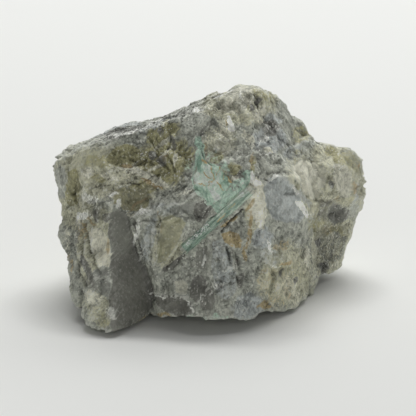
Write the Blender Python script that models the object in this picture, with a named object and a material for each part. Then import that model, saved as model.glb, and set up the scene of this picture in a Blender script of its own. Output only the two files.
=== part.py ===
"""A hand-sized lump of mica and quartz rock with two emeralds grown in its front face.

Three solids: the rock, a slim six-sided emerald prism that lies slantwise in the rock's front face,
and the broken pale emerald above it.  The rock rests on three flats: a foot at the front left, one at
the front right and a wide one at the back.

All sizes below are in millimetres: +X to the right along the rock's length, +Z up, the front at -Y.
The rock's shape is its broken edges: lines of points chosen by hand along ridges, gutters and rims,
seen as directions from CORE.  Flat faces span the triangles between those directions, and fracture
facets, dents and lumps are added along the same directions, so that the skin never folds over.
"""
import bmesh
import bpy
import numpy as np
from mathutils import Vector

MM = 0.001
GAP = 0.3                       # clear space between touching solids
POCKET_COLLAR = 4.0             # how far the pale emerald's pocket is cut forward of its rim
CORE = (-5.0, 8.0, 25.0)        # the point inside the rock that sees all of its skin
LINE_STEP = 1.2                 # spacing of the points read along an edge line
SPHERE_LEVEL = 7                # icosphere level of the directions: about 41,000 of them
ROCK_TRIANGLES = 8200           # what the skin is thinned to
FLOOR_CUT = 8.0                 # depth of the block that planes the resting flats
FLOOR_REACH = 60.0              # how far that block reaches each way from the middle

# ---- the edges of the rock: closed or open lines of (x, y, z) ---------------------------------

OUTLINE = [                     # the rim seen from the front, clockwise from the left shoulder
    (-39.2, 4, 34.4), (-38.5, 8, 34.8), (-35.8, 11, 36.4), (-29.6, 12, 38.2), (-25.5, 20, 39.2),
    (-18.9, 20, 40.9), (-15.1, 14, 42.8), (-10.9, 12, 44.4), (-4.6, 9, 48.1), (1.5, 7, 51.6),
    (7.6, 4, 55.2), (13.7, 4, 54.5), (16.8, 5, 52.1), (21.0, 8, 47.1), (24.8, 10, 42.6),
    (26.2, 12, 38.8), (29.7, 14, 35.8), (33.4, 14, 35.8), (34.8, 15, 34.1), (37.7, 16, 34.1),
    (40.8, 17, 31.1), (41.7, 17, 25.5), (40.5, 16, 17.5), (38.2, 15, 10.1), (35.4, 14, 2.5),
    (30.0, 8, 1.9), (27.1, 1, 0.0), (24.8, -8, 1.4), (21.0, -14, 1.3), (17.8, -17, 1.4),
    (14.0, -21, 2.3), (10.5, -26, 2.2), (6.0, -28, 3.6), (0.5, -29, 3.8), (-3.0, -28.5, 4.7),
    (-7.5, -26.5, 3.4), (-11.0, -23.5, 2.6), (-13.7, -20, 2.4), (-19.3, -26, 1.2), (-21.2, -29.5, 1.6),
    (-23.1, -31, 1.7), (-27.2, -30.5, 1.6), (-30.3, -26, 3.0), (-32.6, -18, 2.8), (-34.5, -14, 7.2),
    (-35.6, -12, 10.8), (-35.4, -10, 13.5), (-37.8, -6, 18.0), (-37.0, -2, 23.4), (-38.2, 1, 25.9),
    (-39.8, 4, 30.9), (-39.2, 4, 34.4)]

EDGES = {
    "front_ridge": [(-38.6, 2, 35.2), (-35.8, -3, 37.0), (-29.4, -8, 41.9), (-23.1, -9, 44.2),
                    (-16.4, -8, 46.0), (-7.9, -8, 49.1), (-0.7, -7, 51.9), (4.5, -6, 54.2),
                    (8.5, -4, 55.2), (13.5, -2, 54.5), (16.8, 5, 52.1)],
    "buttress_edge": [(-24.2, -18.2, 29.9), (-24.1, -20.5, 25.6), (-23.5, -23, 20.0),
                      (-23.0, -25.4, 15.0), (-22.6, -27.8, 9.4), (-22.0, -30, 3.6),
                      (-21.2, -29.5, 1.6)],
    "gutter": [(-20.4, -16.8, 27.2), (-19.0, -17.2, 21.5), (-17.2, -17.6, 15.6), (-14.9, -18.5, 8.3),
               (-13.7, -20, 2.4)],
    "main_edge": [(-17.0, -18.4, 26.8), (-14.6, -19.9, 17.5), (-12.3, -22, 8.8), (-11.0, -23.5, 2.6)],
    "ledge": [(-24.2, -18.2, 29.9), (-20.4, -16.8, 27.2), (-15.5, -18.0, 27.6), (-6.1, -20, 31.9),
              (-2.0, -19.2, 35.1)],
    "ledge_foot": [(-22.1, -16.6, 33.0), (-14.2, -15.8, 30.6), (-6.4, -17, 34.0), (-3.2, -16.8, 37.6)],
    "central_ridge": [(10.9, -10, 48.1), (12.0, -16.5, 39.8), (13.2, -19.5, 33.0), (13.8, -21, 23.9),
                      (14.9, -22.4, 13.9), (14.0, -21, 2.3)],
    "slab_top": [(16.3, -15, 36.5), (21.8, -12.5, 34.2), (24.4, -6, 32.1)],
    "bright_edge": [(22.7, -11.5, 28.3), (25.4, -9, 23.6), (28.3, 1, 17.6)],
    "saddle": [(21.2, -3, 37.5), (28.1, 3, 33.9), (31.0, 4, 33.6), (35.4, 7.5, 32.3),
               (38.5, 10, 27.7)],
    "undercut": [(28.1, -2, 24.5), (31.4, 3.5, 24.3), (37.6, 10, 22.8)],
    "undercut_foot": [(28.3, 1, 17.6), (32.9, 9, 18.7), (38.6, 14, 18.5)],
    "back_rim": [(-37.5, 13, 30.0), (-31.0, 20, 33.0), (-22.0, 24, 35.5), (-12.0, 26, 37.0),
                 (-4.0, 25, 40.0), (6.0, 22, 45.5), (14.0, 20, 45.0), (21.0, 20, 39.0),
                 (28.0, 22, 32.0), (36.0, 25, 27.5), (39.5, 22, 21.0), (37.5, 20, 12.0),
                 (33.0, 18, 5.0)],
    "back_ledge": [(-31.0, 16, 11.0), (-22.0, 24, 11.0), (-10.0, 29.5, 12.0), (4.0, 30, 14.0),
                   (16.0, 28, 14.0), (26.0, 27, 10.0), (33.0, 23, 9.0)],
    "back_foot": [(-29.0, 11, 2.8), (-19.0, 18, 0.5), (-8.0, 23, -1.2), (2.0, 25, -1.5),
                  (12.0, 24, -1.2), (20.0, 21, 0.5), (28.0, 18, 2.0), (33.0, 18, 5.0)],
    "left_side": [(-38.0, 10, 27.0), (-36.0, 9, 17.0), (-33.5, 2, 6.5), (-32.0, -6, 3.4),
                  (-31.0, -12, 2.0)],
}

FACE_POINTS = {                 # single points inside the faces, between the edges
    "buttress": [(-31, -12, 25.6), (-30.8, -17, 17.8), (-28.7, -25, 10.1), (-34.0, -9, 20.0)],
    "upper_left": [(-33, -8, 35.4), (-25.8, -12, 38.4), (-18.9, -11, 39.4), (-11.9, -11.5, 41.6),
                   (-3, -12, 46.1), (-36.5, -3, 30.0), (-29.0, -13.5, 31.5)],
    "main": [(1.7, -15, 43.1), (1.7, -20, 33.1), (-5.7, -21, 21.8), (-7.6, -21.0, 18.4),
             (-9.4, -22.8, 12.0), (-0.7, -24, 13.8), (5.9, -22.6, 19.8), (6.7, -26, 9.8),
             (7.0, -19.6, 37.0)],
    "right": [(17.6, -2, 47.2), (16.9, -8.5, 41.2), (20.5, -13, 30.0), (19.5, -15, 18.5),
              (23.7, -9, 17.7), (23.4, -11, 8.9), (19.2, -17, 5.7), (29.7, 5, 9.1), (35, 11, 11.4)],
    "back": [(-33, 20, 23), (-20, 28.5, 23), (-8, 31, 26), (4, 30, 30), (14, 28.5, 31), (23, 28, 26),
             (31, 28.5, 20), (36, 25, 14)],
    "underside": [(-12, 6, 3.5), (0, 2, 3.5), (10, 0, 2.5), (-20, -4, 4.5), (-8, -8, 4.0),
                  (4, -12, 3.4), (13, -8, 1.6), (-3, -20, 4.4), (6, -19, 3.6), (-25, 3, 4.4),
                  (20, 6, 2.5), (-15, 13, 2.0), (25, 10, 3.0), (-25, -14, 3.4)],
    "resting_flats": [(-2, 17, -1.6), (8, 17, -1.6), (2, 12, -0.9), (19, -8, -1.6), (21, -3, -1.5),
                      (16.5, -4, -0.6), (-26, -24, -1.3), (-24, -21, -0.9)],
}

# ---- dents and lumps: (centre, radius along x, y and z, height; below zero is a dent) ----------

SWELLS = [
    ((-22.5, -10.5, 40.6), (5.4, 5.0, 3.4), -0.6),      # hollow under the front ridge
    ((31.6, 2.8, 30.0), (1.0, 2.0, 1.1), -1.0),         # small pit in the right block
    ((33.0, 8.0, 34.6), (1.5, 3.0, 1.0), 0.8),          # nub on the right shoulder
    ((20.2, -15.5, 12.2), (0.8, 1.5, 0.8), -0.9),       # small hole among the nodules
    ((17.5, -18.5, 10.0), (3.0, 3.0, 2.6), 0.6),        # nodules at the lower right
    ((21.6, -14.0, 7.4), (2.6, 3.0, 2.2), 0.6),
    ((19.5, -15.6, 15.0), (2.4, 3.0, 2.2), 0.5),
    ((6.4, -21.5, 22.8), (3.6, 3.0, 3.4), 0.35),        # rusty boss beside the prism
    ((-10.6, -20.6, 22.5), (3.2, 3.0, 5.5), 0.5),       # beige block left of the prism
    ((-9.0, -20.5, 16.6), (3.4, 2.5, 1.2), -0.7),       # groove that carries the prism's line on
    ((31.0, 4.5, 21.0), (4.5, 5.0, 2.6), -1.0),         # shade under the right block
    ((-33.5, -10.5, 15.5), (2.2, 3.5, 3.6), -0.7),      # bay in the left edge
    ((2.6, -23.4, 16.0), (0.9, 2.0, 3.2), -0.8),        # upright clefts between the folds
    ((6.2, -24.6, 13.8), (0.8, 2.0, 2.6), -0.7),
]

# ---- clean breaks: (centre, outward normal, radius along x, y and z) of flat fracture faces ------

CLEAN_BREAKS = [
    ((-9.6, -20.9, 22.2), (-0.25, -0.96, 0.02), (3.8, 3.0, 5.8)),       # beige block by the prism
    ((18.5, -15.0, 30.6), (0.62, -0.78, 0.10), (4.6, 4.4, 5.6)),        # slab right of the prism
    ((-1.0, -24.4, 12.6), (-0.05, -0.97, 0.10), (3.0, 3.0, 4.4)),       # dark facets low in the face
    ((-5.4, -24.2, 11.6), (0.10, -0.95, 0.30), (2.6, 3.0, 3.4)),
    ((-9.0, -25.0, 6.1), (-0.15, -0.90, -0.40), (5.6, 3.0, 2.8)),       # dark lens under its lip
    ((-27.2, -19.0, 19.8), (-0.50, -0.86, 0.10), (3.0, 3.0, 5.6)),      # cream column of the buttress
    ((-34.1, -7.2, 33.0), (-0.72, -0.68, -0.10), (3.2, 4.0, 5.2)),      # olive face on the left end
    ((7.9, -13.1, 45.2), (0.10, -0.80, 0.60), (4.6, 5.0, 5.0)),         # face under the peak
    ((24.5, -4.6, 33.0), (0.50, -0.75, 0.42), (4.4, 5.0, 3.2)),         # pale face of the saddle
    ((34.9, 6.2, 28.2), (0.70, -0.71, 0.05), (4.2, 4.4, 4.2)),          # right block
    ((33.4, 9.7, 10.2), (0.74, -0.64, -0.20), (4.4, 4.6, 5.2)),         # lower right lobe
    ((-13.0, 28.8, 22.0), (-0.28, 0.95, 0.12), (14.0, 8.0, 13.0)),      # three broad breaks behind
    ((11.0, 28.6, 27.0), (0.15, 0.95, 0.28), (13.0, 8.0, 13.0)),
    ((-31.5, 19.0, 22.0), (-0.78, 0.60, 0.18), (9.0, 11.0, 13.0)),
]
BREAK_RIM = 0.25                # share of a break's radius over which it fades into the skin around it
BREAK_DEPTH = 0.35              # how far below its centre point a break lies
BREAK_LIMIT = 2.4               # the most that a break takes off

# ---- the emeralds --------------------------------------------------------------------------

PRISM_LOW = (-6.3, -20.5, 18.9)     # the buried lower end of the prism's axis
PRISM_HIGH = (10.4, -19.3, 34.5)    # the broken upper end
PRISM_ACROSS = 4.1                  # across opposite corners
PRISM_TURN = 10.0                   # degrees about its axis
PRISM_STEPS = [                     # (share of the length, girth): growth steps and the broken tip
    (0.0, 0.80), (0.06, 0.97), (0.30, 1.0), (0.50, 1.0), (0.53, 0.92), (0.74, 0.88), (0.93, 0.84),
    (1.0, 0.74)]
PRISM_TIP_SLANT = 0.55              # how far the broken tip leans back, as a share of the girth

MASS_RIM = [                        # the broken emerald's rim, clockwise from its thin upper tip
    (-2.0, -14.1, 43.7), (-0.5, -15.9, 41.4), (1.2, -16.9, 40.4), (3.4, -18.2, 38.8),
    (6.1, -19.1, 38.0), (7.2, -20.1, 36.0), (4.4, -20.5, 33.1), (1.0, -20.9, 29.9),
    (-0.2, -20.7, 31.1), (-2.0, -20.3, 33.0), (-3.9, -19.3, 34.3), (-4.4, -17.6, 36.3),
    (-3.4, -16.5, 39.0), (-3.0, -15.1, 41.4)]
MASS_CROWN = [(-0.7, -17.9, 38.9), (1.6, -20.7, 35.5)]      # two high points of its face
MASS_DEPTH = 3.2                    # how far it goes into the rock
MASS_TAPER = 0.82                   # its buried side against its rim


# ---- noise: the same numbers each run -----------------------------------------------------------

def lattice(cells, seed):
    """A number in 0..1 for each whole-number cell: its three counts mixed by multiply and shift."""
    h = cells.astype(np.int64).astype(np.uint32)
    mixed = h[..., 0] * np.uint32(374761393) + h[..., 1] * np.uint32(668265263)
    mixed = mixed + h[..., 2] * np.uint32(2246822519) + np.uint32(seed * 3266489 + 97)
    mixed = (mixed ^ (mixed >> np.uint32(13))) * np.uint32(1274126177)
    mixed = (mixed ^ (mixed >> np.uint32(16))) * np.uint32(2654435761)
    return (mixed ^ (mixed >> np.uint32(15))).astype(np.float64) / 4294967296.0


def smooth_noise(points, size, seed):
    """Numbers in -1..1 that change smoothly over about size: eight cell corners, eased between."""
    scaled = points / size
    cell = np.floor(scaled)
    ease = scaled - cell
    ease = ease * ease * (3.0 - 2.0 * ease)
    total = np.zeros(len(points))
    for corner in np.ndindex(2, 2, 2):
        weight = np.prod(np.where(np.array(corner) == 1, ease, 1.0 - ease), axis=1)
        total += weight * lattice(cell + np.array(corner), seed)
    return 2.0 * total - 1.0


def noise_vector(points, size, seed):
    """Three smooth noises side by side, for shaking points sideways."""
    return np.stack([smooth_noise(points, size, seed + k) for k in range(3)], axis=1)


def fracture_facets(points, size, slope, seed):
    """Flat tilted chips: each point takes the nearest cell's seed point and that cell's own slope."""
    scaled = points / size
    cell = np.floor(scaled)
    nearest = np.full(len(points), 1e9)
    height = np.zeros(len(points))
    for shift in np.ndindex(3, 3, 3):
        other = cell + np.array(shift) - 1.0
        seed_point = other + np.stack([lattice(other, seed + k) for k in range(3)], axis=1)
        tilt = np.stack([lattice(other, seed + 3 + k) for k in range(3)], axis=1) - 0.5
        away = scaled - seed_point
        distance = np.sum(away * away, axis=1)
        closer = distance < nearest
        nearest = np.where(closer, distance, nearest)
        height = np.where(closer, np.sum(away * tilt, axis=1) + 0.5 * tilt[:, 0], height)
    return np.clip(height * 2.0 * slope * size, -slope * size, slope * size)


# ---- the rock's skin ---------------------------------------------------------------------------

def along(line):
    """Points along a line of corners, LINE_STEP apart or closer, the last corner left out."""
    corners = np.array(line, float)
    pieces = []
    for start, end in zip(corners[:-1], corners[1:]):
        count = max(1, int(np.ceil(np.linalg.norm(end - start) / LINE_STEP)))
        pieces.append(start + (end - start) * (np.arange(count) / count)[:, None])
    return np.concatenate(pieces)


def cage_points():
    """Every hand-placed point and the points between them along the edges, without doubles."""
    lines = [along(OUTLINE)]
    for line in EDGES.values():
        lines.append(along(line))
        lines.append(np.array(line[-1:], float))
    lines += [np.array(points, float) for points in FACE_POINTS.values()]
    points = np.concatenate(lines)
    keys = np.round(points, 3)
    _, first = np.unique(keys, axis=0, return_index=True)
    return points[np.sort(first)]


def cage_triangles(points):
    """Corner numbers of the flat faces: the convex hull of the points' directions from CORE."""
    offsets = points - np.array(CORE)
    directions = offsets / np.linalg.norm(offsets, axis=1)[:, None]
    mesh = bmesh.new()
    corners = [mesh.verts.new(d) for d in directions]
    for number, corner in enumerate(corners):
        corner.index = number
    bmesh.ops.convex_hull(mesh, input=corners, use_existing_faces=False)
    triangles = np.array([[v.index for v in face.verts] for face in mesh.faces])
    mesh.free()
    return triangles


def skin_radius(directions, points, triangles):
    """Distance from CORE to the flat faces along each direction.

    A direction d is a mix of a face's three corner offsets, d = w0 a + w1 b + w2 c.  The face that
    it leaves through is the one whose weights are all positive, and the distance is 1 / (w0+w1+w2).
    """
    offsets = points - np.array(CORE)
    weights = np.linalg.inv(offsets[triangles].transpose(0, 2, 1))
    radius = np.zeros(len(directions))
    for start in range(0, len(directions), 2000):
        part = directions[start:start + 2000]
        mix = np.einsum("tij,nj->nti", weights, part)
        best = np.argmax(mix.min(axis=2), axis=1)
        radius[start:start + 2000] = 1.0 / mix[np.arange(len(part)), best].sum(axis=1)
    return radius


def distance_to_segment(points, start, end):
    """Distance of each point from the straight line between start and end."""
    start, end = np.array(start), np.array(end)
    run = end - start
    share = np.clip((points - start) @ run / (run @ run), 0.0, 1.0)
    return np.linalg.norm(points - start - share[:, None] * run, axis=1)


def calm(points):
    """How rough the skin may be, 0..1: quiet on the cleavage face and around the emeralds."""
    prism = distance_to_segment(points, PRISM_LOW, PRISM_HIGH)
    mass = distance_to_segment(points, MASS_RIM[0], (1.0, -20.4, 32.0))
    cleavage = distance_to_segment(points, (-21.8, -18.4, 27.0), (-18.2, -22.0, 3.0))
    quiet = np.minimum((prism - 1.6) / 3.0, (mass - 2.5) / 3.0)
    quiet = np.minimum(quiet, (cleavage - 2.2) / 2.0)
    return 0.12 + 0.88 * np.clip(quiet, 0.0, 1.0)


def swells(points):
    """Dents and lumps: each a round bump, (1 - q)^2 of the squared distance q in its own radii."""
    total = np.zeros(len(points))
    for centre, radii, height in SWELLS:
        q = np.sum(((points - np.array(centre)) / np.array(radii)) ** 2, axis=1) / 2.0
        total += height * np.clip(1.0 - q, 0.0, 1.0) ** 2
    return total


def columns(points):
    """Upright ribs on the buttress: smooth noise drawn out along Z, faded in below its top."""
    ribs = smooth_noise(points * [1.0, 1.0, 0.16], 2.7, 90)
    inside = np.clip((-22.5 - points[:, 0]) / 2.0, 0.0, 1.0)
    inside *= np.clip((28.0 - points[:, 2]) / 3.0, 0.0, 1.0)
    inside *= np.clip((4.0 - points[:, 1]) / 6.0, 0.0, 1.0)
    return 0.75 * ribs * inside


def relief(points):
    """Height of the fracture facets, large and small, plus the ribs, dents and lumps."""
    shaken = points + 1.1 * noise_vector(points, 5.0, 40) + 0.4 * noise_vector(points, 1.8, 50)
    facets = fracture_facets(shaken, 9.0, 0.085, 60)
    facets += fracture_facets(shaken, 4.6, 0.105, 70)
    facets += 0.15 * smooth_noise(points, 2.6, 80)
    return facets * calm(points) + columns(points) + swells(points)


def clean_breaks(points, directions, heights):
    """Heights with the clean breaks shaved flat.

    Within a break's radius, skin that stands proud of the plane through its centre moves back along
    its direction onto that plane, to the height -((p - c) . n + BREAK_DEPTH) / (d . n).  The rim of
    the radius is read at points shaken sideways, so that it is ragged.
    """
    ragged = points + 1.6 * noise_vector(points, 4.0, 30) + 0.6 * noise_vector(points, 1.7, 35)
    for centre, normal, radii in CLEAN_BREAKS:
        outward = np.array(normal) / np.linalg.norm(normal)
        reach = 1.0 - np.sum(((ragged - np.array(centre)) / np.array(radii)) ** 2, axis=1)
        share = np.clip(reach / BREAK_RIM, 0.0, 1.0)
        facing = np.maximum(directions @ outward, 0.3)
        onto = -((points - np.array(centre)) @ outward + BREAK_DEPTH) / facing
        taken = np.clip(heights - onto, 0.0, BREAK_LIMIT)
        heights = heights - share * taken
    return heights


def shaken_directions(directions):
    """Directions moved a little sideways, so that the rock's edges wander instead of running straight."""
    moved = directions + 0.022 * noise_vector(directions, 0.22, 10)
    moved += 0.010 * noise_vector(directions, 0.07, 20)
    return moved / np.linalg.norm(moved, axis=1)[:, None]


def skin(directions):
    """Points of the rock's skin, in millimetres, for a set of directions from CORE."""
    points = cage_points()
    triangles = cage_triangles(points)
    radius = skin_radius(shaken_directions(directions), points, triangles)
    surface = np.array(CORE) + radius[:, None] * directions
    heights = clean_breaks(surface, directions, relief(surface))
    return surface + heights[:, None] * directions


# ---- making objects -----------------------------------------------------------------------------

def clear_scene():
    for thing in list(bpy.data.objects):
        bpy.data.objects.remove(thing, do_unlink=True)


def material(name, colour, roughness):
    finish = bpy.data.materials.new(name)
    finish.use_nodes = True
    shader = finish.node_tree.nodes["Principled BSDF"]
    shader.inputs["Base Color"].default_value = (*colour, 1.0)
    shader.inputs["Roughness"].default_value = roughness
    shader.inputs["Metallic"].default_value = 0.0
    return finish


def add_object(name, mesh, finish=None):
    """A named object for a mesh that is in place already."""
    thing = bpy.data.objects.new(name, mesh)
    bpy.context.scene.collection.objects.link(thing)
    if finish is not None:
        mesh.materials.append(finish)
    return thing


def mesh_from(name, points, faces):
    """A closed mesh from points in millimetres, its faces turned outwards."""
    mesh = bpy.data.meshes.new(name)
    mesh.from_pydata([tuple(p) for p in np.asarray(points) * MM], [], faces)
    shape = bmesh.new()
    shape.from_mesh(mesh)
    bmesh.ops.recalc_face_normals(shape, faces=shape.faces)
    shape.to_mesh(mesh)
    shape.free()
    return mesh


def cutter(name, mesh):
    """A guide solid that only cuts others."""
    thing = add_object(name, mesh)
    thing.hide_render = True
    thing.display_type = "WIRE"
    return thing


def cut(thing, tool):
    change = thing.modifiers.new("cut_" + tool.name, "BOOLEAN")
    change.operation = "DIFFERENCE"
    change.solver = "EXACT"
    change.object = tool


def prism_solid(name, grow, overshoot):
    """The hexagonal prism: six corners round the axis at each growth step, grown outwards by grow."""
    low, high = Vector(PRISM_LOW), Vector(PRISM_HIGH)
    axis = (high - low).normalized()
    side = axis.cross(Vector((0.0, 1.0, 0.0))).normalized()
    outward = side.cross(axis).normalized()
    points = []
    for share, girth in PRISM_STEPS:
        radius = 0.5 * PRISM_ACROSS * girth + grow
        reach = overshoot if share in (0.0, 1.0) else 0.0
        centre = low.lerp(high, share) + axis * (reach if share > 0.5 else -reach)
        for corner in range(6):
            angle = np.radians(60.0 * corner + PRISM_TURN)
            offset = side * (radius * np.cos(angle)) + outward * (radius * np.sin(angle))
            slant = PRISM_TIP_SLANT * offset.dot(outward) if share == 1.0 else 0.0
            points.append(centre + offset - axis * slant)
    rings = len(PRISM_STEPS)
    faces = [[6 * r + c, 6 * r + (c + 1) % 6, 6 * r + 6 + (c + 1) % 6, 6 * r + 6 + c]
             for r in range(rings - 1) for c in range(6)]
    faces.append(list(range(6)))
    faces.append(list(range(6 * rings - 6, 6 * rings)))
    return mesh_from(name, points, faces)


def mass_solid(name, grow, proud):
    """The broken emerald: its rim, a face crowned by two high points, and a smaller buried side.

    A proud height adds a straight collar in front of the rim, for the tool that cuts its pocket.
    """
    rim = np.array(MASS_RIM, float)
    middle = rim.mean(axis=0)
    outward = rim - middle
    outward[:, 1] = 0.0
    rim = rim + outward / np.linalg.norm(outward, axis=1)[:, None] * grow
    forward = np.array([0.0, -proud, 0.0])
    into = np.array([0.0, 0.93, -0.37])
    buried = middle + (rim - middle) * [MASS_TAPER, 1.0, MASS_TAPER] + into * (MASS_DEPTH + grow)
    rings = [rim + forward, rim, buried] if proud > 0.0 else [rim, buried]
    count = len(rim)
    last = count * (len(rings) - 1)
    points = np.concatenate(rings + [np.array(MASS_CROWN) + forward, [buried.mean(axis=0)]])
    upper, lower, heart = last + count, last + count + 1, last + count + 2
    faces = []
    for k in range(count):
        after = (k + 1) % count
        faces += [[r + k, r + after, r + count + after, r + count + k] for r in range(0, last, count)]
        faces.append([last + k, last + after, heart])
        faces.append([k, after, upper if nearer_upper(k, after) else lower])
    changes = [k for k in range(count) if nearer_upper(k - 1, k) != nearer_upper(k, (k + 1) % count)]
    faces += [[changes[0], upper, lower], [changes[1], upper, lower]]
    return mesh_from(name, points, faces)


def nearer_upper(start, end):
    """Whether the rim stretch from start to end belongs to the upper of the two high points."""
    middle = (np.array(MASS_RIM[start]) + np.array(MASS_RIM[end])) / 2.0
    gaps = [np.linalg.norm(middle - np.array(peak)) for peak in MASS_CROWN]
    return gaps[0] < gaps[1]


def rock_solid():
    """The rock's skin over an icosphere of directions, thinned, so that flat places get few faces."""
    shape = bmesh.new()
    bmesh.ops.create_icosphere(shape, subdivisions=SPHERE_LEVEL, radius=1.0)
    directions = np.array([v.co[:] for v in shape.verts])
    directions /= np.linalg.norm(directions, axis=1)[:, None]
    for vert, place in zip(shape.verts, skin(directions) * MM):
        vert.co = place
    mesh = bpy.data.meshes.new("matrix_rock")
    shape.to_mesh(mesh)
    shape.free()
    return mesh


def stand_on_centre(rock):
    """Parents everything to an empty that brings the middle of the rock's footprint to the origin."""
    evaluated = rock.evaluated_get(bpy.context.evaluated_depsgraph_get())
    box = np.array([corner[:] for corner in evaluated.bound_box])
    middle = (box.min(axis=0) + box.max(axis=0)) / 2.0
    specimen = bpy.data.objects.new("specimen", None)
    bpy.context.scene.collection.objects.link(specimen)
    for thing in bpy.data.objects:
        if thing.type == "MESH":
            thing.parent = specimen
    specimen.location = (-middle[0], -middle[1], 0.0)


def build():
    clear_scene()
    rock_finish = material("mica_quartz_rock", (0.165, 0.165, 0.135), 0.72)
    prism_finish = material("emerald_prism", (0.13, 0.26, 0.19), 0.35)
    mass_finish = material("pale_emerald", (0.26, 0.36, 0.27), 0.45)

    rock = add_object("matrix_rock", rock_solid(), rock_finish)
    thin = rock.modifiers.new("thin_out", "DECIMATE")
    thin.ratio = ROCK_TRIANGLES / len(rock.data.polygons)
    add_object("emerald_prism", prism_solid("emerald_prism", 0.0, 0.0), prism_finish)
    add_object("emerald_mass", mass_solid("emerald_mass", 0.0, 0.0), mass_finish)

    below = bpy.data.meshes.new("below_floor")
    block = bmesh.new()
    bmesh.ops.create_cube(block, size=2.0)
    half_size = Vector((FLOOR_REACH, FLOOR_REACH, FLOOR_CUT / 2.0)) * MM
    bmesh.ops.scale(block, vec=half_size, verts=block.verts)
    bmesh.ops.translate(block, vec=(0.0, 0.0, -half_size.z), verts=block.verts)
    block.to_mesh(below)
    block.free()
    cut(rock, cutter("below_floor", below))
    cut(rock, cutter("prism_pocket", prism_solid("prism_pocket", GAP * 1.2, GAP * 1.5)))
    cut(rock, cutter("mass_pocket", mass_solid("mass_pocket", GAP * 1.2, POCKET_COLLAR)))
    stand_on_centre(rock)


build()
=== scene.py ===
"""An emerald specimen: a broken lump of mica and quartz rock with two emeralds grown in its face.

Lengths are in millimetres up to the point where a mesh is made, and metres in the scene.  The rock's
skin is its broken edges seen from a point inside it, as in the frame, with the finer relief, the
minerals and the emeralds' growth marks added.  Places on the front are given as (across, up) in a
front view: millimetres to the right of and above the middle of the lump, as an eye in front of it
and a little above sees them.
"""

from functools import partial

import bmesh
import bpy
import numpy as np
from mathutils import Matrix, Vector


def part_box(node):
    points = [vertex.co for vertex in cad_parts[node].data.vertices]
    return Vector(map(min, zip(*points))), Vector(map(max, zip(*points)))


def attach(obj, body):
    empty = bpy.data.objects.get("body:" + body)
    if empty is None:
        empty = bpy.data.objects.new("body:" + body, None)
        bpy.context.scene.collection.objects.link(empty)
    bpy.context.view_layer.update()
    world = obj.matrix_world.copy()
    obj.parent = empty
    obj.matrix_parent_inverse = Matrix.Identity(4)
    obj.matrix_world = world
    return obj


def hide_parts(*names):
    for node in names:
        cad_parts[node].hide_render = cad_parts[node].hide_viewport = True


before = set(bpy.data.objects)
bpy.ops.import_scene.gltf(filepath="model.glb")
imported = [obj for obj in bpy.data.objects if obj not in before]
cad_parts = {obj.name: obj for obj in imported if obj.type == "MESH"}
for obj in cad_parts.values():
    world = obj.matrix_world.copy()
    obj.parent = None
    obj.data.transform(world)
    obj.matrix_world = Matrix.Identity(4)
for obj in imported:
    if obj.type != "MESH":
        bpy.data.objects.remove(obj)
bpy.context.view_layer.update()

MM = 0.001

# ---- the front view ----

EYE_DISTANCE = 500.0            # from the lump's middle
EYE_RISE = 18.0                 # degrees above the level
VIEW_MIDDLE = np.array([0.0, 0.0, 23.3])
PICTURE_WIDTH = 106.5           # what the picture spans at the lump's middle

# ---- the rock's skin: how finely it is laid out ----

COLUMNS = 400                   # round the lump
ROWS = 248                      # from its underside to its top
FRONT_CROWDING = 0.35           # how much closer the columns stand at the front than at the sides
ROW_KNOTS = ([0.0, 0.10, 0.86, 1.0], [-90.0, -45.0, 56.0, 90.0])    # share of rows, degrees up

# ---- the edges of the rock, as in the frame: lines of (x, y, z) ----

CORE = (-5.0, 8.0, 25.0)        # the point inside the rock that sees all of its skin
LINE_STEP = 1.2                 # spacing of the points read along an edge line

# the rim seen from the front, clockwise from the left shoulder
OUTLINE = [(-39.2, 4, 34.4), (-38.5, 8, 34.8), (-35.8, 11, 36.4), (-29.6, 12, 38.2), (-25.5, 20, 39.2),
    (-18.9, 20, 40.9), (-15.1, 14, 42.8), (-10.9, 12, 44.4), (-4.6, 9, 48.1), (1.5, 7, 51.6),
    (7.6, 4, 55.2), (13.7, 4, 54.5), (16.8, 5, 52.1), (21, 8, 47.1), (24.8, 10, 42.6), (26.2, 12, 38.8),
    (29.7, 14, 35.8), (33.4, 14, 35.8), (34.8, 15, 34.1), (37.7, 16, 34.1), (40.8, 17, 31.1),
    (41.7, 17, 25.5), (40.5, 16, 17.5), (38.2, 15, 10.1), (35.4, 14, 2.5), (30, 8, 1.9), (27.1, 1, 0),
    (24.8, -8, 1.4), (21, -14, 1.3), (17.8, -17, 1.4), (14, -21, 2.3), (10.5, -26, 2.2), (6, -28, 3.6),
    (0.5, -29, 3.8), (-3, -28.5, 4.7), (-7.5, -26.5, 3.4), (-11, -23.5, 2.6), (-13.7, -20, 2.4),
    (-19.3, -26, 1.2), (-21.2, -29.5, 1.6), (-23.1, -31, 1.7), (-27.2, -30.5, 1.6), (-30.3, -26, 3),
    (-32.6, -18, 2.8), (-34.5, -14, 7.2), (-35.6, -12, 10.8), (-35.4, -10, 13.5), (-37.8, -6, 18),
    (-37, -2, 23.4), (-38.2, 1, 25.9), (-39.8, 4, 30.9), (-39.2, 4, 34.4)]

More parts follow.
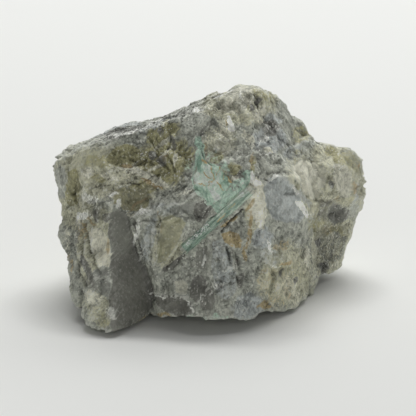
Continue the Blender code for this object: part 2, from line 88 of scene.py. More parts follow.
EDGES = {
    "front_ridge": [(-38.6, 2, 35.2), (-35.8, -3, 37), (-29.4, -8, 41.9), (-23.1, -9, 44.2),
        (-16.4, -8, 46), (-7.9, -8, 49.1), (-0.7, -7, 51.9), (4.5, -6, 54.2), (8.5, -4, 55.2),
        (13.5, -2, 54.5), (16.8, 5, 52.1)],
    "buttress_edge": [(-24.2, -18.2, 29.9), (-24.1, -20.5, 25.6), (-23.5, -23, 20), (-23, -25.4, 15),
        (-22.6, -27.8, 9.4), (-22, -30, 3.6), (-21.2, -29.5, 1.6)],
    "gutter": [(-20.4, -16.8, 27.2), (-19, -17.2, 21.5), (-17.2, -17.6, 15.6), (-14.9, -18.5, 8.3),
        (-13.7, -20, 2.4)],
    "main_edge": [(-17, -18.4, 26.8), (-14.6, -19.9, 17.5), (-12.3, -22, 8.8), (-11, -23.5, 2.6)],
    "ledge": [(-24.2, -18.2, 29.9), (-20.4, -16.8, 27.2), (-15.5, -18, 27.6), (-6.1, -20, 31.9),
        (-2, -19.2, 35.1)],
    "ledge_foot": [(-22.1, -16.6, 33), (-14.2, -15.8, 30.6), (-6.4, -17, 34), (-3.2, -16.8, 37.6)],
    "central_ridge": [(10.9, -10, 48.1), (12, -16.5, 39.8), (13.2, -19.5, 33), (13.8, -21, 23.9),
        (14.9, -22.4, 13.9), (14, -21, 2.3)],
    "slab_top": [(16.3, -15, 36.5), (21.8, -12.5, 34.2), (24.4, -6, 32.1)],
    "bright_edge": [(22.7, -11.5, 28.3), (25.4, -9, 23.6), (28.3, 1, 17.6)],
    "saddle": [(21.2, -3, 37.5), (28.1, 3, 33.9), (31, 4, 33.6), (35.4, 7.5, 32.3), (38.5, 10, 27.7)],
    "undercut": [(28.1, -2, 24.5), (31.4, 3.5, 24.3), (37.6, 10, 22.8)],
    "undercut_foot": [(28.3, 1, 17.6), (32.9, 9, 18.7), (38.6, 14, 18.5)],
    "back_rim": [(-37.5, 13, 30), (-31, 20, 33), (-22, 24, 35.5), (-12, 26, 37), (-4, 25, 40),
        (6, 22, 45.5), (14, 20, 45), (21, 20, 39), (28, 22, 32), (36, 25, 27.5), (39.5, 22, 21),
        (37.5, 20, 12), (33, 18, 5)],
    "back_ledge": [(-31, 16, 11), (-22, 24, 11), (-10, 29.5, 12), (4, 30, 14), (16, 28, 14), (26, 27, 10),
        (33, 23, 9)],
    "back_foot": [(-29, 11, 2.8), (-19, 18, 0.5), (-8, 23, -1.2), (2, 25, -1.5), (12, 24, -1.2),
        (20, 21, 0.5), (28, 18, 2), (33, 18, 5)],
    "left_side": [(-38, 10, 27), (-36, 9, 17), (-33.5, 2, 6.5), (-32, -6, 3.4), (-31, -12, 2)],
}

# single points inside the faces, between the edges
FACE_POINTS = {
    "buttress": [(-31, -12, 25.6), (-30.8, -17, 17.8), (-28.7, -25, 10.1), (-34, -9, 20)],
    "upper_left": [(-33, -8, 35.4), (-25.8, -12, 38.4), (-18.9, -11, 39.4), (-11.9, -11.5, 41.6),
        (-3, -12, 46.1), (-36.5, -3, 30), (-29, -13.5, 31.5)],
    "main": [(1.7, -15, 43.1), (1.7, -20, 33.1), (-5.7, -21, 21.8), (-7.6, -21, 18.4), (-9.4, -22.8, 12),
        (-0.7, -24, 13.8), (5.9, -22.6, 19.8), (6.7, -26, 9.8), (7, -19.6, 37)],
    "right": [(17.6, -2, 47.2), (16.9, -8.5, 41.2), (20.5, -13, 30), (19.5, -15, 18.5), (23.7, -9, 17.7),
        (23.4, -11, 8.9), (19.2, -17, 5.7), (29.7, 5, 9.1), (35, 11, 11.4)],
    "back": [(-33, 20, 23), (-20, 28.5, 23), (-8, 31, 26), (4, 30, 30), (14, 28.5, 31), (23, 28, 26),
        (31, 28.5, 20), (36, 25, 14)],
    "underside": [(-12, 6, 3.5), (0, 2, 3.5), (10, 0, 2.5), (-20, -4, 4.5), (-8, -8, 4), (4, -12, 3.4),
        (13, -8, 1.6), (-3, -20, 4.4), (6, -19, 3.6), (-25, 3, 4.4), (20, 6, 2.5), (-15, 13, 2),
        (25, 10, 3), (-25, -14, 3.4)],
    "resting_flats": [(-2, 17, -1.6), (8, 17, -1.6), (2, 12, -0.9), (19, -8, -1.6), (21, -3, -1.5),
        (16.5, -4, -0.6), (-26, -24, -1.3), (-24, -21, -0.9)],
}

SWELLS = [                      # dents and lumps: (centre, radii, height), a dent below zero
    ((-22.5, -10.5, 40.6), (5.4, 5.0, 3.4), -0.6),      # hollow under the front ridge
    ((31.6, 2.8, 30.0), (1.0, 2.0, 1.1), -1.0),         # small pit in the right block
    ((33.0, 8.0, 34.6), (1.5, 3.0, 1.0), 0.8),          # nub on the right shoulder
    ((20.2, -15.5, 12.2), (0.8, 1.5, 0.8), -0.9),       # small hole among the nodules
    ((17.5, -18.5, 10.0), (3.0, 3.0, 2.6), 0.6),         # nodules at the lower right
    ((21.6, -14.0, 7.4), (2.6, 3.0, 2.2), 0.6),
    ((19.5, -15.6, 15.0), (2.4, 3.0, 2.2), 0.5),
    ((6.4, -21.5, 22.8), (3.6, 3.0, 3.4), 0.35),        # rusty boss beside the prism
    ((-10.6, -20.6, 22.5), (3.2, 3.0, 5.5), 0.5),       # beige block left of the prism
    ((-9.0, -20.5, 16.6), (3.4, 2.5, 1.2), -0.7),       # groove that carries the prism's line on
    ((31.0, 4.5, 21.0), (4.5, 5.0, 2.6), -1.0),         # shade under the right block
    ((-33.5, -10.5, 15.5), (2.2, 3.5, 3.6), -0.7),      # bay in the left edge
    ((2.6, -23.4, 16.0), (0.9, 2.0, 3.2), -0.8),        # upright clefts between the folds
    ((6.2, -24.6, 13.8), (0.8, 2.0, 2.6), -0.7),
]

CLEAN_BREAKS = [                # (centre, outward normal, radii) of flat fracture faces
    ((-9.6, -20.9, 22.2), (-0.25, -0.96, 0.02), (3.8, 3.0, 5.8)),       # beige block by the prism
    ((18.5, -15.0, 30.6), (0.62, -0.78, 0.10), (4.6, 4.4, 5.6)),        # slab right of the prism
    ((-1.0, -24.4, 12.6), (-0.05, -0.97, 0.10), (3.0, 3.0, 4.4)),       # dark facets low in the face
    ((-5.4, -24.2, 11.6), (0.10, -0.95, 0.30), (2.6, 3.0, 3.4)),
    ((-9.0, -25.0, 6.1), (-0.15, -0.90, -0.40), (5.6, 3.0, 2.8)),       # dark lens under its lip
    ((-27.2, -19.0, 19.8), (-0.50, -0.86, 0.10), (3.0, 3.0, 5.6)),      # cream column of the buttress
    ((-34.1, -7.2, 33.0), (-0.72, -0.68, -0.10), (3.2, 4.0, 5.2)),      # olive face on the left end
    ((7.9, -13.1, 45.2), (0.10, -0.80, 0.60), (4.6, 5.0, 5.0)),         # face under the peak
    ((24.5, -4.6, 33.0), (0.50, -0.75, 0.42), (4.4, 5.0, 3.2)),         # pale face of the saddle
    ((34.9, 6.2, 28.2), (0.70, -0.71, 0.05), (4.2, 4.4, 4.2)),          # right block
    ((33.4, 9.7, 10.2), (0.74, -0.64, -0.20), (4.4, 4.6, 5.2)),         # lower right lobe
    ((-13.0, 28.8, 22.0), (-0.28, 0.95, 0.12), (14.0, 8.0, 13.0)),      # three broad breaks behind
    ((11.0, 28.6, 27.0), (0.15, 0.95, 0.28), (13.0, 8.0, 13.0)),
    ((-31.5, 19.0, 22.0), (-0.78, 0.60, 0.18), (9.0, 11.0, 13.0)),
]
RIBS_WITHIN = ((0, -22.5, 2), (2, 28, 3), (1, 4, 6))    # the buttress: (axis, its limit, fading over)
RIB_HEIGHT = 0.75
BREAK_RIM = 0.25                # share of a break's radius over which it fades into the skin around it
BREAK_DEPTH = 0.35              # how far below its centre point a break lies
BREAK_LIMIT = 2.4               # the most that a break takes off

# ---- the emeralds ----

PRISM_LOW = (-6.3, -20.5, 18.9)
PRISM_HIGH = (10.4, -19.3, 34.5)
PRISM_ACROSS = 4.1
PRISM_TURN = 10.0
MASS_RIM = [(-2, -14.1, 43.7), (-0.5, -15.9, 41.4), (1.2, -16.9, 40.4), (3.4, -18.2, 38.8),
    (6.1, -19.1, 38), (7.2, -20.1, 36), (4.4, -20.5, 33.1), (1, -20.9, 29.9), (-0.2, -20.7, 31.1),
    (-2, -20.3, 33), (-3.9, -19.3, 34.3), (-4.4, -17.6, 36.3), (-3.4, -16.5, 39), (-3, -15.1, 41.4)]

CALM_LINES = [                  # (start, end, how far it stays calm, over how much more it grows rough)
    (PRISM_LOW, PRISM_HIGH, 1.6, 3.0),                      # the prism
    (MASS_RIM[0], (1, -20.4, 32), 2.5, 3.0),                # the pale emerald
    ((-21.8, -18.4, 27), (-18.2, -22, 3), 2.2, 2.0)]        # the cleavage face
CALMEST = 0.12                  # how rough the skin stays there, of 1

# ---- minerals on the front: (across, up, half length, half width, turn in degrees, strength) ----

MINERALS = {
    "warm": [(-29, 9, 10, 6.5, 10, 0.9), (-34, 4, 5, 9, 0, 0.85), (-28.5, -10, 4.4, 10, -10, 0.9),
        (-14, 10, 9, 6, 20, 0.7), (8, 27, 9, 5, 0, 0.95), (31, 7, 10, 9, 0, 0.95), (20, -17, 7, 8, 0, 0.8),
        (32, -10, 6, 9, 0, 0.85), (-11, -8, 4, 7, 0, 0.7), (12, -1, 3, 6, 0, 0.7), (3, 17, 5, 4, 20, 0.5),
        (-26, -25, 6, 5, 0, 0.6), (-20, 5, 8, 4, 0, 0.6)],
    "olive": [(-11, 12, 8, 6, 20, 0.65), (-17.5, 4.6, 6, 2.2, 15, 0.6), (-12, 19, 4.5, 2.4, 25, 0.75),
        (35, 11.8, 3.8, 2.2, -10, 0.6), (31.2, 14.4, 1.6, 1.6, 0, 0.7), (32.5, -8.2, 3, 4.2, 10, 0.7),
        (7.6, 25.6, 2.8, 2.2, 30, 0.6), (25, 20, 2, 5.2, -50, 0.5), (-25, -28.6, 4, 2, 0, 0.4),
        (-27, 12, 5, 2, 10, 0.5), (36, 4, 2, 4, 0, 0.4), (20, -18, 5, 5, 0, 0.35),
        (2.2, 13.2, 1, 2.6, -20, 0.6), (6.4, 9.8, 2.6, 2.2, 0, 0.6), (11.6, 11, 1, 2.8, 0, 0.6),
        (14, 29, 3, 1.4, -30, 0.5), (-28, 7.6, 2.4, 1.2, 0, 0.5), (23, 12.6, 2, 3, 20, 0.4),
        (28, -3.6, 2.4, 4, 0, 0.45)],
    "cream": [(-28.5, -23, 2.4, 1.4, -20, 0.5), (10.5, 17.5, 1.5, 3, 30, 0.5),
        (13.6, 24.2, 2, 2.2, 0, 0.75), (8.4, 27.6, 4.6, 2.4, 20, 0.5), (15.4, 14.6, 1.5, 1.1, 0, 0.8),
        (-32, -2.6, 3, 1.4, 20, 0.6), (21, -21, 3, 4, 20, 0.45), (4, 20.5, 2, 3, 20, 0.5),
        (30, 2, 4, 2, -20, 0.4), (33, -15.5, 3.5, 2, 10, 0.45), (-19.6, 9.8, 3.4, 1, -18, 0.75),
        (-13.8, 7.4, 4.6, 1.2, -20, 0.8), (-12.6, 10.4, 3, 0.6, 30, 0.7), (-10.4, 13.8, 2.6, 0.5, 55, 0.7),
        (-8.2, 12.4, 2.2, 0.5, 70, 0.65), (-11.6, 16.6, 2.4, 0.45, 42, 0.65),
        (-25.6, 8, 2.6, 1, -10, 0.55), (-30.6, 8.8, 1.6, 1.4, 0, 0.55), (-17.8, -1.4, 4, 0.6, 12, 0.6),
        (-6, 4.2, 3.2, 0.6, 25, 0.45), (1.8, -13, 1.4, 3, 5, 0.45), (4.8, -18.4, 1.6, 1.4, 0, 0.6),
        (25.2, -12.6, 0.6, 2.4, 5, 0.85), (17.4, -19.4, 1.2, 0.9, 0, 0.9), (-36.2, -8.2, 1, 4, 10, 0.4),
        (7.4, 7.6, 1.2, 0.8, 20, 0.6)],
    "ochre": [(10.4, -5.4, 0.6, 4.4, -8, 0.9), (9.4, -11.4, 0.6, 2, 12, 0.9),
        (10.8, 0.6, 0.6, 2.6, -40, 0.7), (5.2, -3.4, 2.8, 0.6, 40, 0.8),
        (-17.4, -28.4, 4.2, 0.6, 22, 0.85), (-11.4, -27, 2, 0.5, -15, 0.7), (17, -20, 4.6, 6.4, 20, 0.32),
        (14.2, -25, 1.4, 1.2, 0, 0.75), (20.4, -14.2, 1.6, 0.9, 20, 0.7), (-0.6, 14.6, 1, 2.2, 10, 0.45),
        (-20.6, 10.6, 1.8, 0.7, -18, 0.7), (-14.4, 6.2, 3.4, 0.5, -22, 0.75),
        (-16.6, 1.6, 2.4, 0.5, 30, 0.8), (-19.4, -0.2, 1.6, 0.4, 40, 0.6), (-10.8, 12, 1.6, 0.5, 50, 0.6),
        (-32.8, -6.2, 1, 2.6, 0, 0.5), (-30.4, -3.6, 2.4, 0.5, -35, 0.6), (39, 10.6, 0.5, 1.2, 0, 0.8),
        (37.4, 5.2, 0.8, 1.8, 0, 0.6), (33.6, 2.6, 0.9, 0.9, 0, 0.6), (30.6, -5.8, 1.4, 1.6, 0, 0.4),
        (11.2, 12.4, 0.5, 2.4, 0, 0.6), (4.4, 22.2, 0.5, 0.9, 0, 0.6), (18.6, -9.4, 1.6, 1.2, 0, 0.45),
        (-35.4, -14.4, 0.5, 3, 12, 0.5), (-25.6, -9.6, 0.5, 2.6, 0, 0.5), (-12.4, -4.4, 0.4, 3, 10, 0.45)],
    # the dark stroke at (31.2, -1) is painted shade under the right block
    "dark": [(-9.2, -14, 3.6, 0.8, 42, 0.9), (31.2, -1, 3.6, 3, 0, 0.5), (-29.4, -19.2, 2.6, 3, 0, 0.5),
        (-26, -2.4, 1.6, 1.4, 0, 0.6), (13.4, 27.6, 1, 0.8, 0, 0.8), (11.2, 25.4, 1, 1.2, 0, 0.7),
        (14.2, 23.4, 0.5, 0.6, 0, 1), (15.8, 20.2, 2.8, 2, 10, 0.6), (7.2, -14.4, 0.7, 2.4, -15, 0.8),
        (5.2, -11.8, 0.6, 2, -12, 0.8), (28.6, -9.2, 1, 1.4, 0, 0.7), (13.2, 14, 3, 2, 40, 0.4),
        (8, -19, 1, 2.6, -20, 0.7), (-16.6, 4.2, 2.6, 1, 20, 0.4), (-13.8, 13.4, 1.4, 1.8, 40, 0.7),
        (-11.4, 11.6, 1.2, 1.2, 0, 0.6), (-9.2, 16.6, 0.8, 2.6, 20, 0.6), (-12.4, 19.6, 0.7, 2, 10, 0.6),
        (-19, 14.6, 1.6, 0.5, 20, 0.7), (-18.2, 13, 1.8, 0.4, 25, 0.7), (4, 15.6, 3, 2.6, 0, 0.4),
        (5.6, 8.6, 0.5, 2, 0, 0.6), (8.4, 8.4, 0.5, 1.8, 0, 0.6), (12.8, 6.8, 1.6, 0.5, 50, 0.6),
        (-33.2, -7.6, 0.7, 1.6, 0, 0.6), (-28.4, -2, 1, 2, 10, 0.6), (-1.4, 19.4, 2.4, 0.6, 50, 0.5),
        (0.4, 21.2, 2.2, 0.5, 50, 0.5), (34, 8.4, 0.6, 0.5, 0, 1), (31.6, 5.6, 0.8, 0.9, 0, 1),
        (18.7, -16.9, 0.5, 0.7, 0, 1), (22.6, -18.6, 0.6, 1.2, -20, 0.7), (-24, -30.6, 3, 1, 0, 0.5),
        (28.8, 8, 0.6, 1.8, 0, 0.5), (9.6, -23.2, 1.6, 1.2, 30, 0.5)],
    "blue_grey": [(15.4, 17.4, 5, 4, 0, 0.6), (-23.8, 20.4, 7.8, 1.5, 10, 0.6),
        (-11, -0.8, 5.2, 2, 15, 0.5), (4.4, -17.2, 3, 5.2, 0, 0.5), (13.8, -7.6, 3, 3, 0, 0.7),
        (-15.4, -8.2, 2, 6.4, -10, 0.5), (10.8, -26, 5.2, 2, 0, 0.4), (23.6, 15, 4, 4, 0, 0.4),
        (-14, 20.4, 6, 1.4, 20, 0.5), (22, 14, 3, 2, -20, 0.5), (-26.5, -16, 2, 3, 0, 0.4),
        (16, -12, 4, 3, 0, 0.4), (0, 12, 3, 2, 0, 0.3), (17, 22.6, 3, 1.4, -10, 0.5),
        (24.8, 2.6, 1, 3, 30, 0.5), (37.6, 3, 1.2, 5, 0, 0.5)],
    # the strokes at (24.4, -0.6) and (23.6, 1.4), by the slab's right edge, are painted highlights
    "white": [(5.8, 21.4, 0.9, 2.2, 25, 0.95), (24.4, -0.6, 0.7, 2, 30, 0.95),
        (23.6, 1.4, 0.5, 1.4, 40, 0.8), (-32.6, -2.4, 1.7, 0.9, 0, 0.95), (-16.4, -1.4, 3.2, 0.5, 15, 0.7),
        (8.2, 29.6, 0.35, 2.4, 0, 0.5), (-13, -22.4, 3.4, 0.3, -12, 0.7), (-4.6, -25, 1.6, 0.3, -50, 0.7),
        (-1.8, -22.6, 0.3, 2.8, 28, 0.6), (12.8, 5.8, 1.2, 0.9, 0, 0.7), (11.4, 7.6, 0.7, 1.6, 0, 0.8),
        (-24, -28, 2, 1, 0, 0.45), (14, -4, 0.8, 2.6, 10, 0.4), (-20.4, 19, 5, 0.35, 16, 0.6),
        (-12, 22.6, 6, 0.4, 20, 0.65), (-2.6, 24.8, 2.4, 0.5, 22, 0.7), (3.4, 29.2, 3, 0.5, 20, 0.6),
        (-24.6, 3.4, 1.6, 0.6, 30, 0.6), (-30.6, 2.6, 2.4, 1.2, -20, 0.55), (-23, 1.2, 1, 1.4, 0, 0.6),
        (14, 17.8, 1.6, 1.2, 0, 0.5), (2.2, -19.4, 1.6, 0.9, 0, 0.6), (16.2, -9.4, 0.4, 2, 35, 0.6),
        (17.2, -14.4, 2.2, 0.3, -20, 0.6), (16.6, 8, 1.6, 0.4, 25, 0.7), (22.2, 4.4, 1.6, 0.4, -50, 0.7),
        (-18.6, -6.6, 0.5, 3.6, -8, 0.55), (-17, -12, 0.4, 2.4, -20, 0.5), (-1, -13, 0.3, 3, 5, 0.5),
        (34.4, 9.6, 1.6, 0.4, 30, 0.5), (31.8, 8.6, 0.4, 1.8, 0, 0.6), (-25, -26.6, 1.6, 1.6, 0, 0.5),
        (15.6, 13.4, 1, 0.4, 30, 0.7)],
    "green": [(1, 8.4, 6.4, 6.8, 0, 0.33), (8.8, 6, 3.4, 1.6, 35, 0.55), (-1.6, 15, 0.9, 3, 10, 0.75),
        (10.4, 8, 1.6, 1.8, 40, 0.7), (4.4, 10.8, 2.4, 0.9, -40, 0.5), (-4.6, 10.4, 1.4, 2.2, 0, 0.4)],
}

STROKE_END, STROKE_FADE = 1.25, 0.5     # where a stroke ends and over how much, in its own radii

# where the stone is paler or deeper than its minerals make it: partly its own tone and partly painted
# light and shade, as the deeper strokes on the crest, the peak, the lower right lobe and along the
# foot, and the paler ones by the slab's edge and on the cleavage face
TONES_AND_SHADING = {
    "paler": [(-30, 11.4, 5.5, 4.5, 0, 1.2), (27.4, -0.5, 4.5, 4.5, 0, 1.4), (5.6, 19.5, 4.5, 4.5, 0, 1.3),
        (20, 2, 5, 9, -20, 0.9), (13, -1, 3, 7, -10, 0.7), (24, 9, 6, 4, -20, 0.7),
        (10, 20, 6, 4, 30, 0.8), (-6, 0, 5, 2.6, 10, 0.6), (18.5, -8, 5, 5, 0, 0.6),
        (22, 17, 4, 3, -40, 0.6), (-38, 13.5, 2.5, 2.5, 0, 0.8), (-22.5, 15.8, 3, 1.2, 10, 0.5),
        (13.3, 22.8, 2.4, 2, 0, 0.8), (7, 22.6, 1.6, 2, 0, 0.8), (23.5, 19, 3, 2, -40, 0.9),
        (30.5, 16.2, 2.5, 1.4, 0, 0.7), (40.5, 2.2, 1, 4, 0, 0.6), (10.8, 3.6, 1.6, 1.2, 40, 0.8),
        (13.3, -4, 1.4, 3, 0, 0.8), (-16.9, -17.4, 1.6, 6, -20, 1.2), (-18.6, -20.5, 3, 5, -15, 0.6),
        (3.8, 8.6, 4, 5, 0, 0.5), (-9.6, -7.6, 3.4, 5.4, -20, 0.5), (-19.4, -6, 1.2, 5, -15, 0.6),
        (19, 12, 5, 4, -30, 0.6), (20, -18, 5, 6, 0, 0.9), (-32, 13.5, 6, 2.4, 20, 0.5),
        (15, 16, 4, 3, 20, 0.6), (27.4, -8, 2, 2.6, 0, 0.6), (-28, -9, 2.4, 6, 10, 0.9),
        (-16.5, -12, 1.2, 4, -20, 0.7)],
    "deeper": [(-22, 13, 6, 4, 10, 0.5), (-20, 3, 6, 3.5, 0, 0.7), (34, 8, 4, 6, 0, 0.6),
        (33, -11, 6, 7, 0, 2.1), (40, 8, 2, 8, 0, 1.3), (6, 28, 8, 4, 10, 2), (-27, -1, 4, 5, 0, 0.8),
        (-20, 20, 9, 2, 14, 1.8), (-8, 23.4, 8, 2, 22, 1.7), (-34.6, 5.3, 2.5, 5, 0, 0.9),
        (-9, -8, 4, 6, 0, 0.1), (0, -28, 14, 1.6, 0, 0.8), (-20, -26, 7, 2.4, 10, 0.8),
        (-23.6, -14, 1.2, 12, 2, 1), (-18.2, 9, 3.4, 1.4, -10, 0.6), (38.9, 13.8, 2, 1.6, 0, 0.8),
        (36.4, 2.3, 1.8, 3, 0, 0.5), (-13.6, -9.2, 1.4, 4, 0, 0.6), (-16.9, -0.8, 3, 1, 10, 0.5),
        (10.8, -18.7, 2, 4, 0, 0.7), (5.6, -23.8, 4, 2, -20, 0.7), (-8.4, -20, 2, 2, 0, 0.5)],
}

# ---- how the front is broken: the same six numbers ----

BROKEN = {
    "smooth": [(-17.5, 3.6, 4, 2, 15, 0.4), (35, 7.4, 4, 7, 0, 0.5), (-28, 14, 8, 1.6, 20, 0.4),
        (24, 6, 5, 7, -20, 0.55), (32, -10, 4.5, 6, 0, 0.4), (-34, 8, 4, 6, 0, 0.3),
        (6, 28, 6, 3, 20, 0.3), (-5.6, -1, 5, 3, 10, 0.3)],
    "hackly": [(-11, 11, 9, 7, 20, 1), (-18, 5, 7, 3.4, 15, 0.8), (14, 24, 4, 3.4, 0, 0.9),
        (-24, 7, 4, 5, 0, 0.7), (8, 12, 4, 5, 0, 0.8), (-27, -22, 5, 6, 0, 0.6), (14, 12, 4, 5, 0, 0.5),
        (3, 15, 3, 4, 0, 0.7), (-30, -8, 3, 7, 0, 0.6), (-22, 20.5, 6, 1.6, 12, 0.7)],
    "nodular": [(19, -18.5, 5.5, 7, 15, 1), (29.6, 6, 6, 4.6, 0, 0.8), (34, 12, 4, 3, 0, 0.7),
        (32, -12, 4, 5, 0, 0.7), (13, -8, 3, 5, 0, 0.4)],
    "folded": [(4, -15.4, 4.2, 7, 0, 1), (10.5, -19, 3, 5, 0, 0.6)],
}

# ---- flat broken faces on the front: (minerals, smoothness, how bruised the rim is, corners) ----

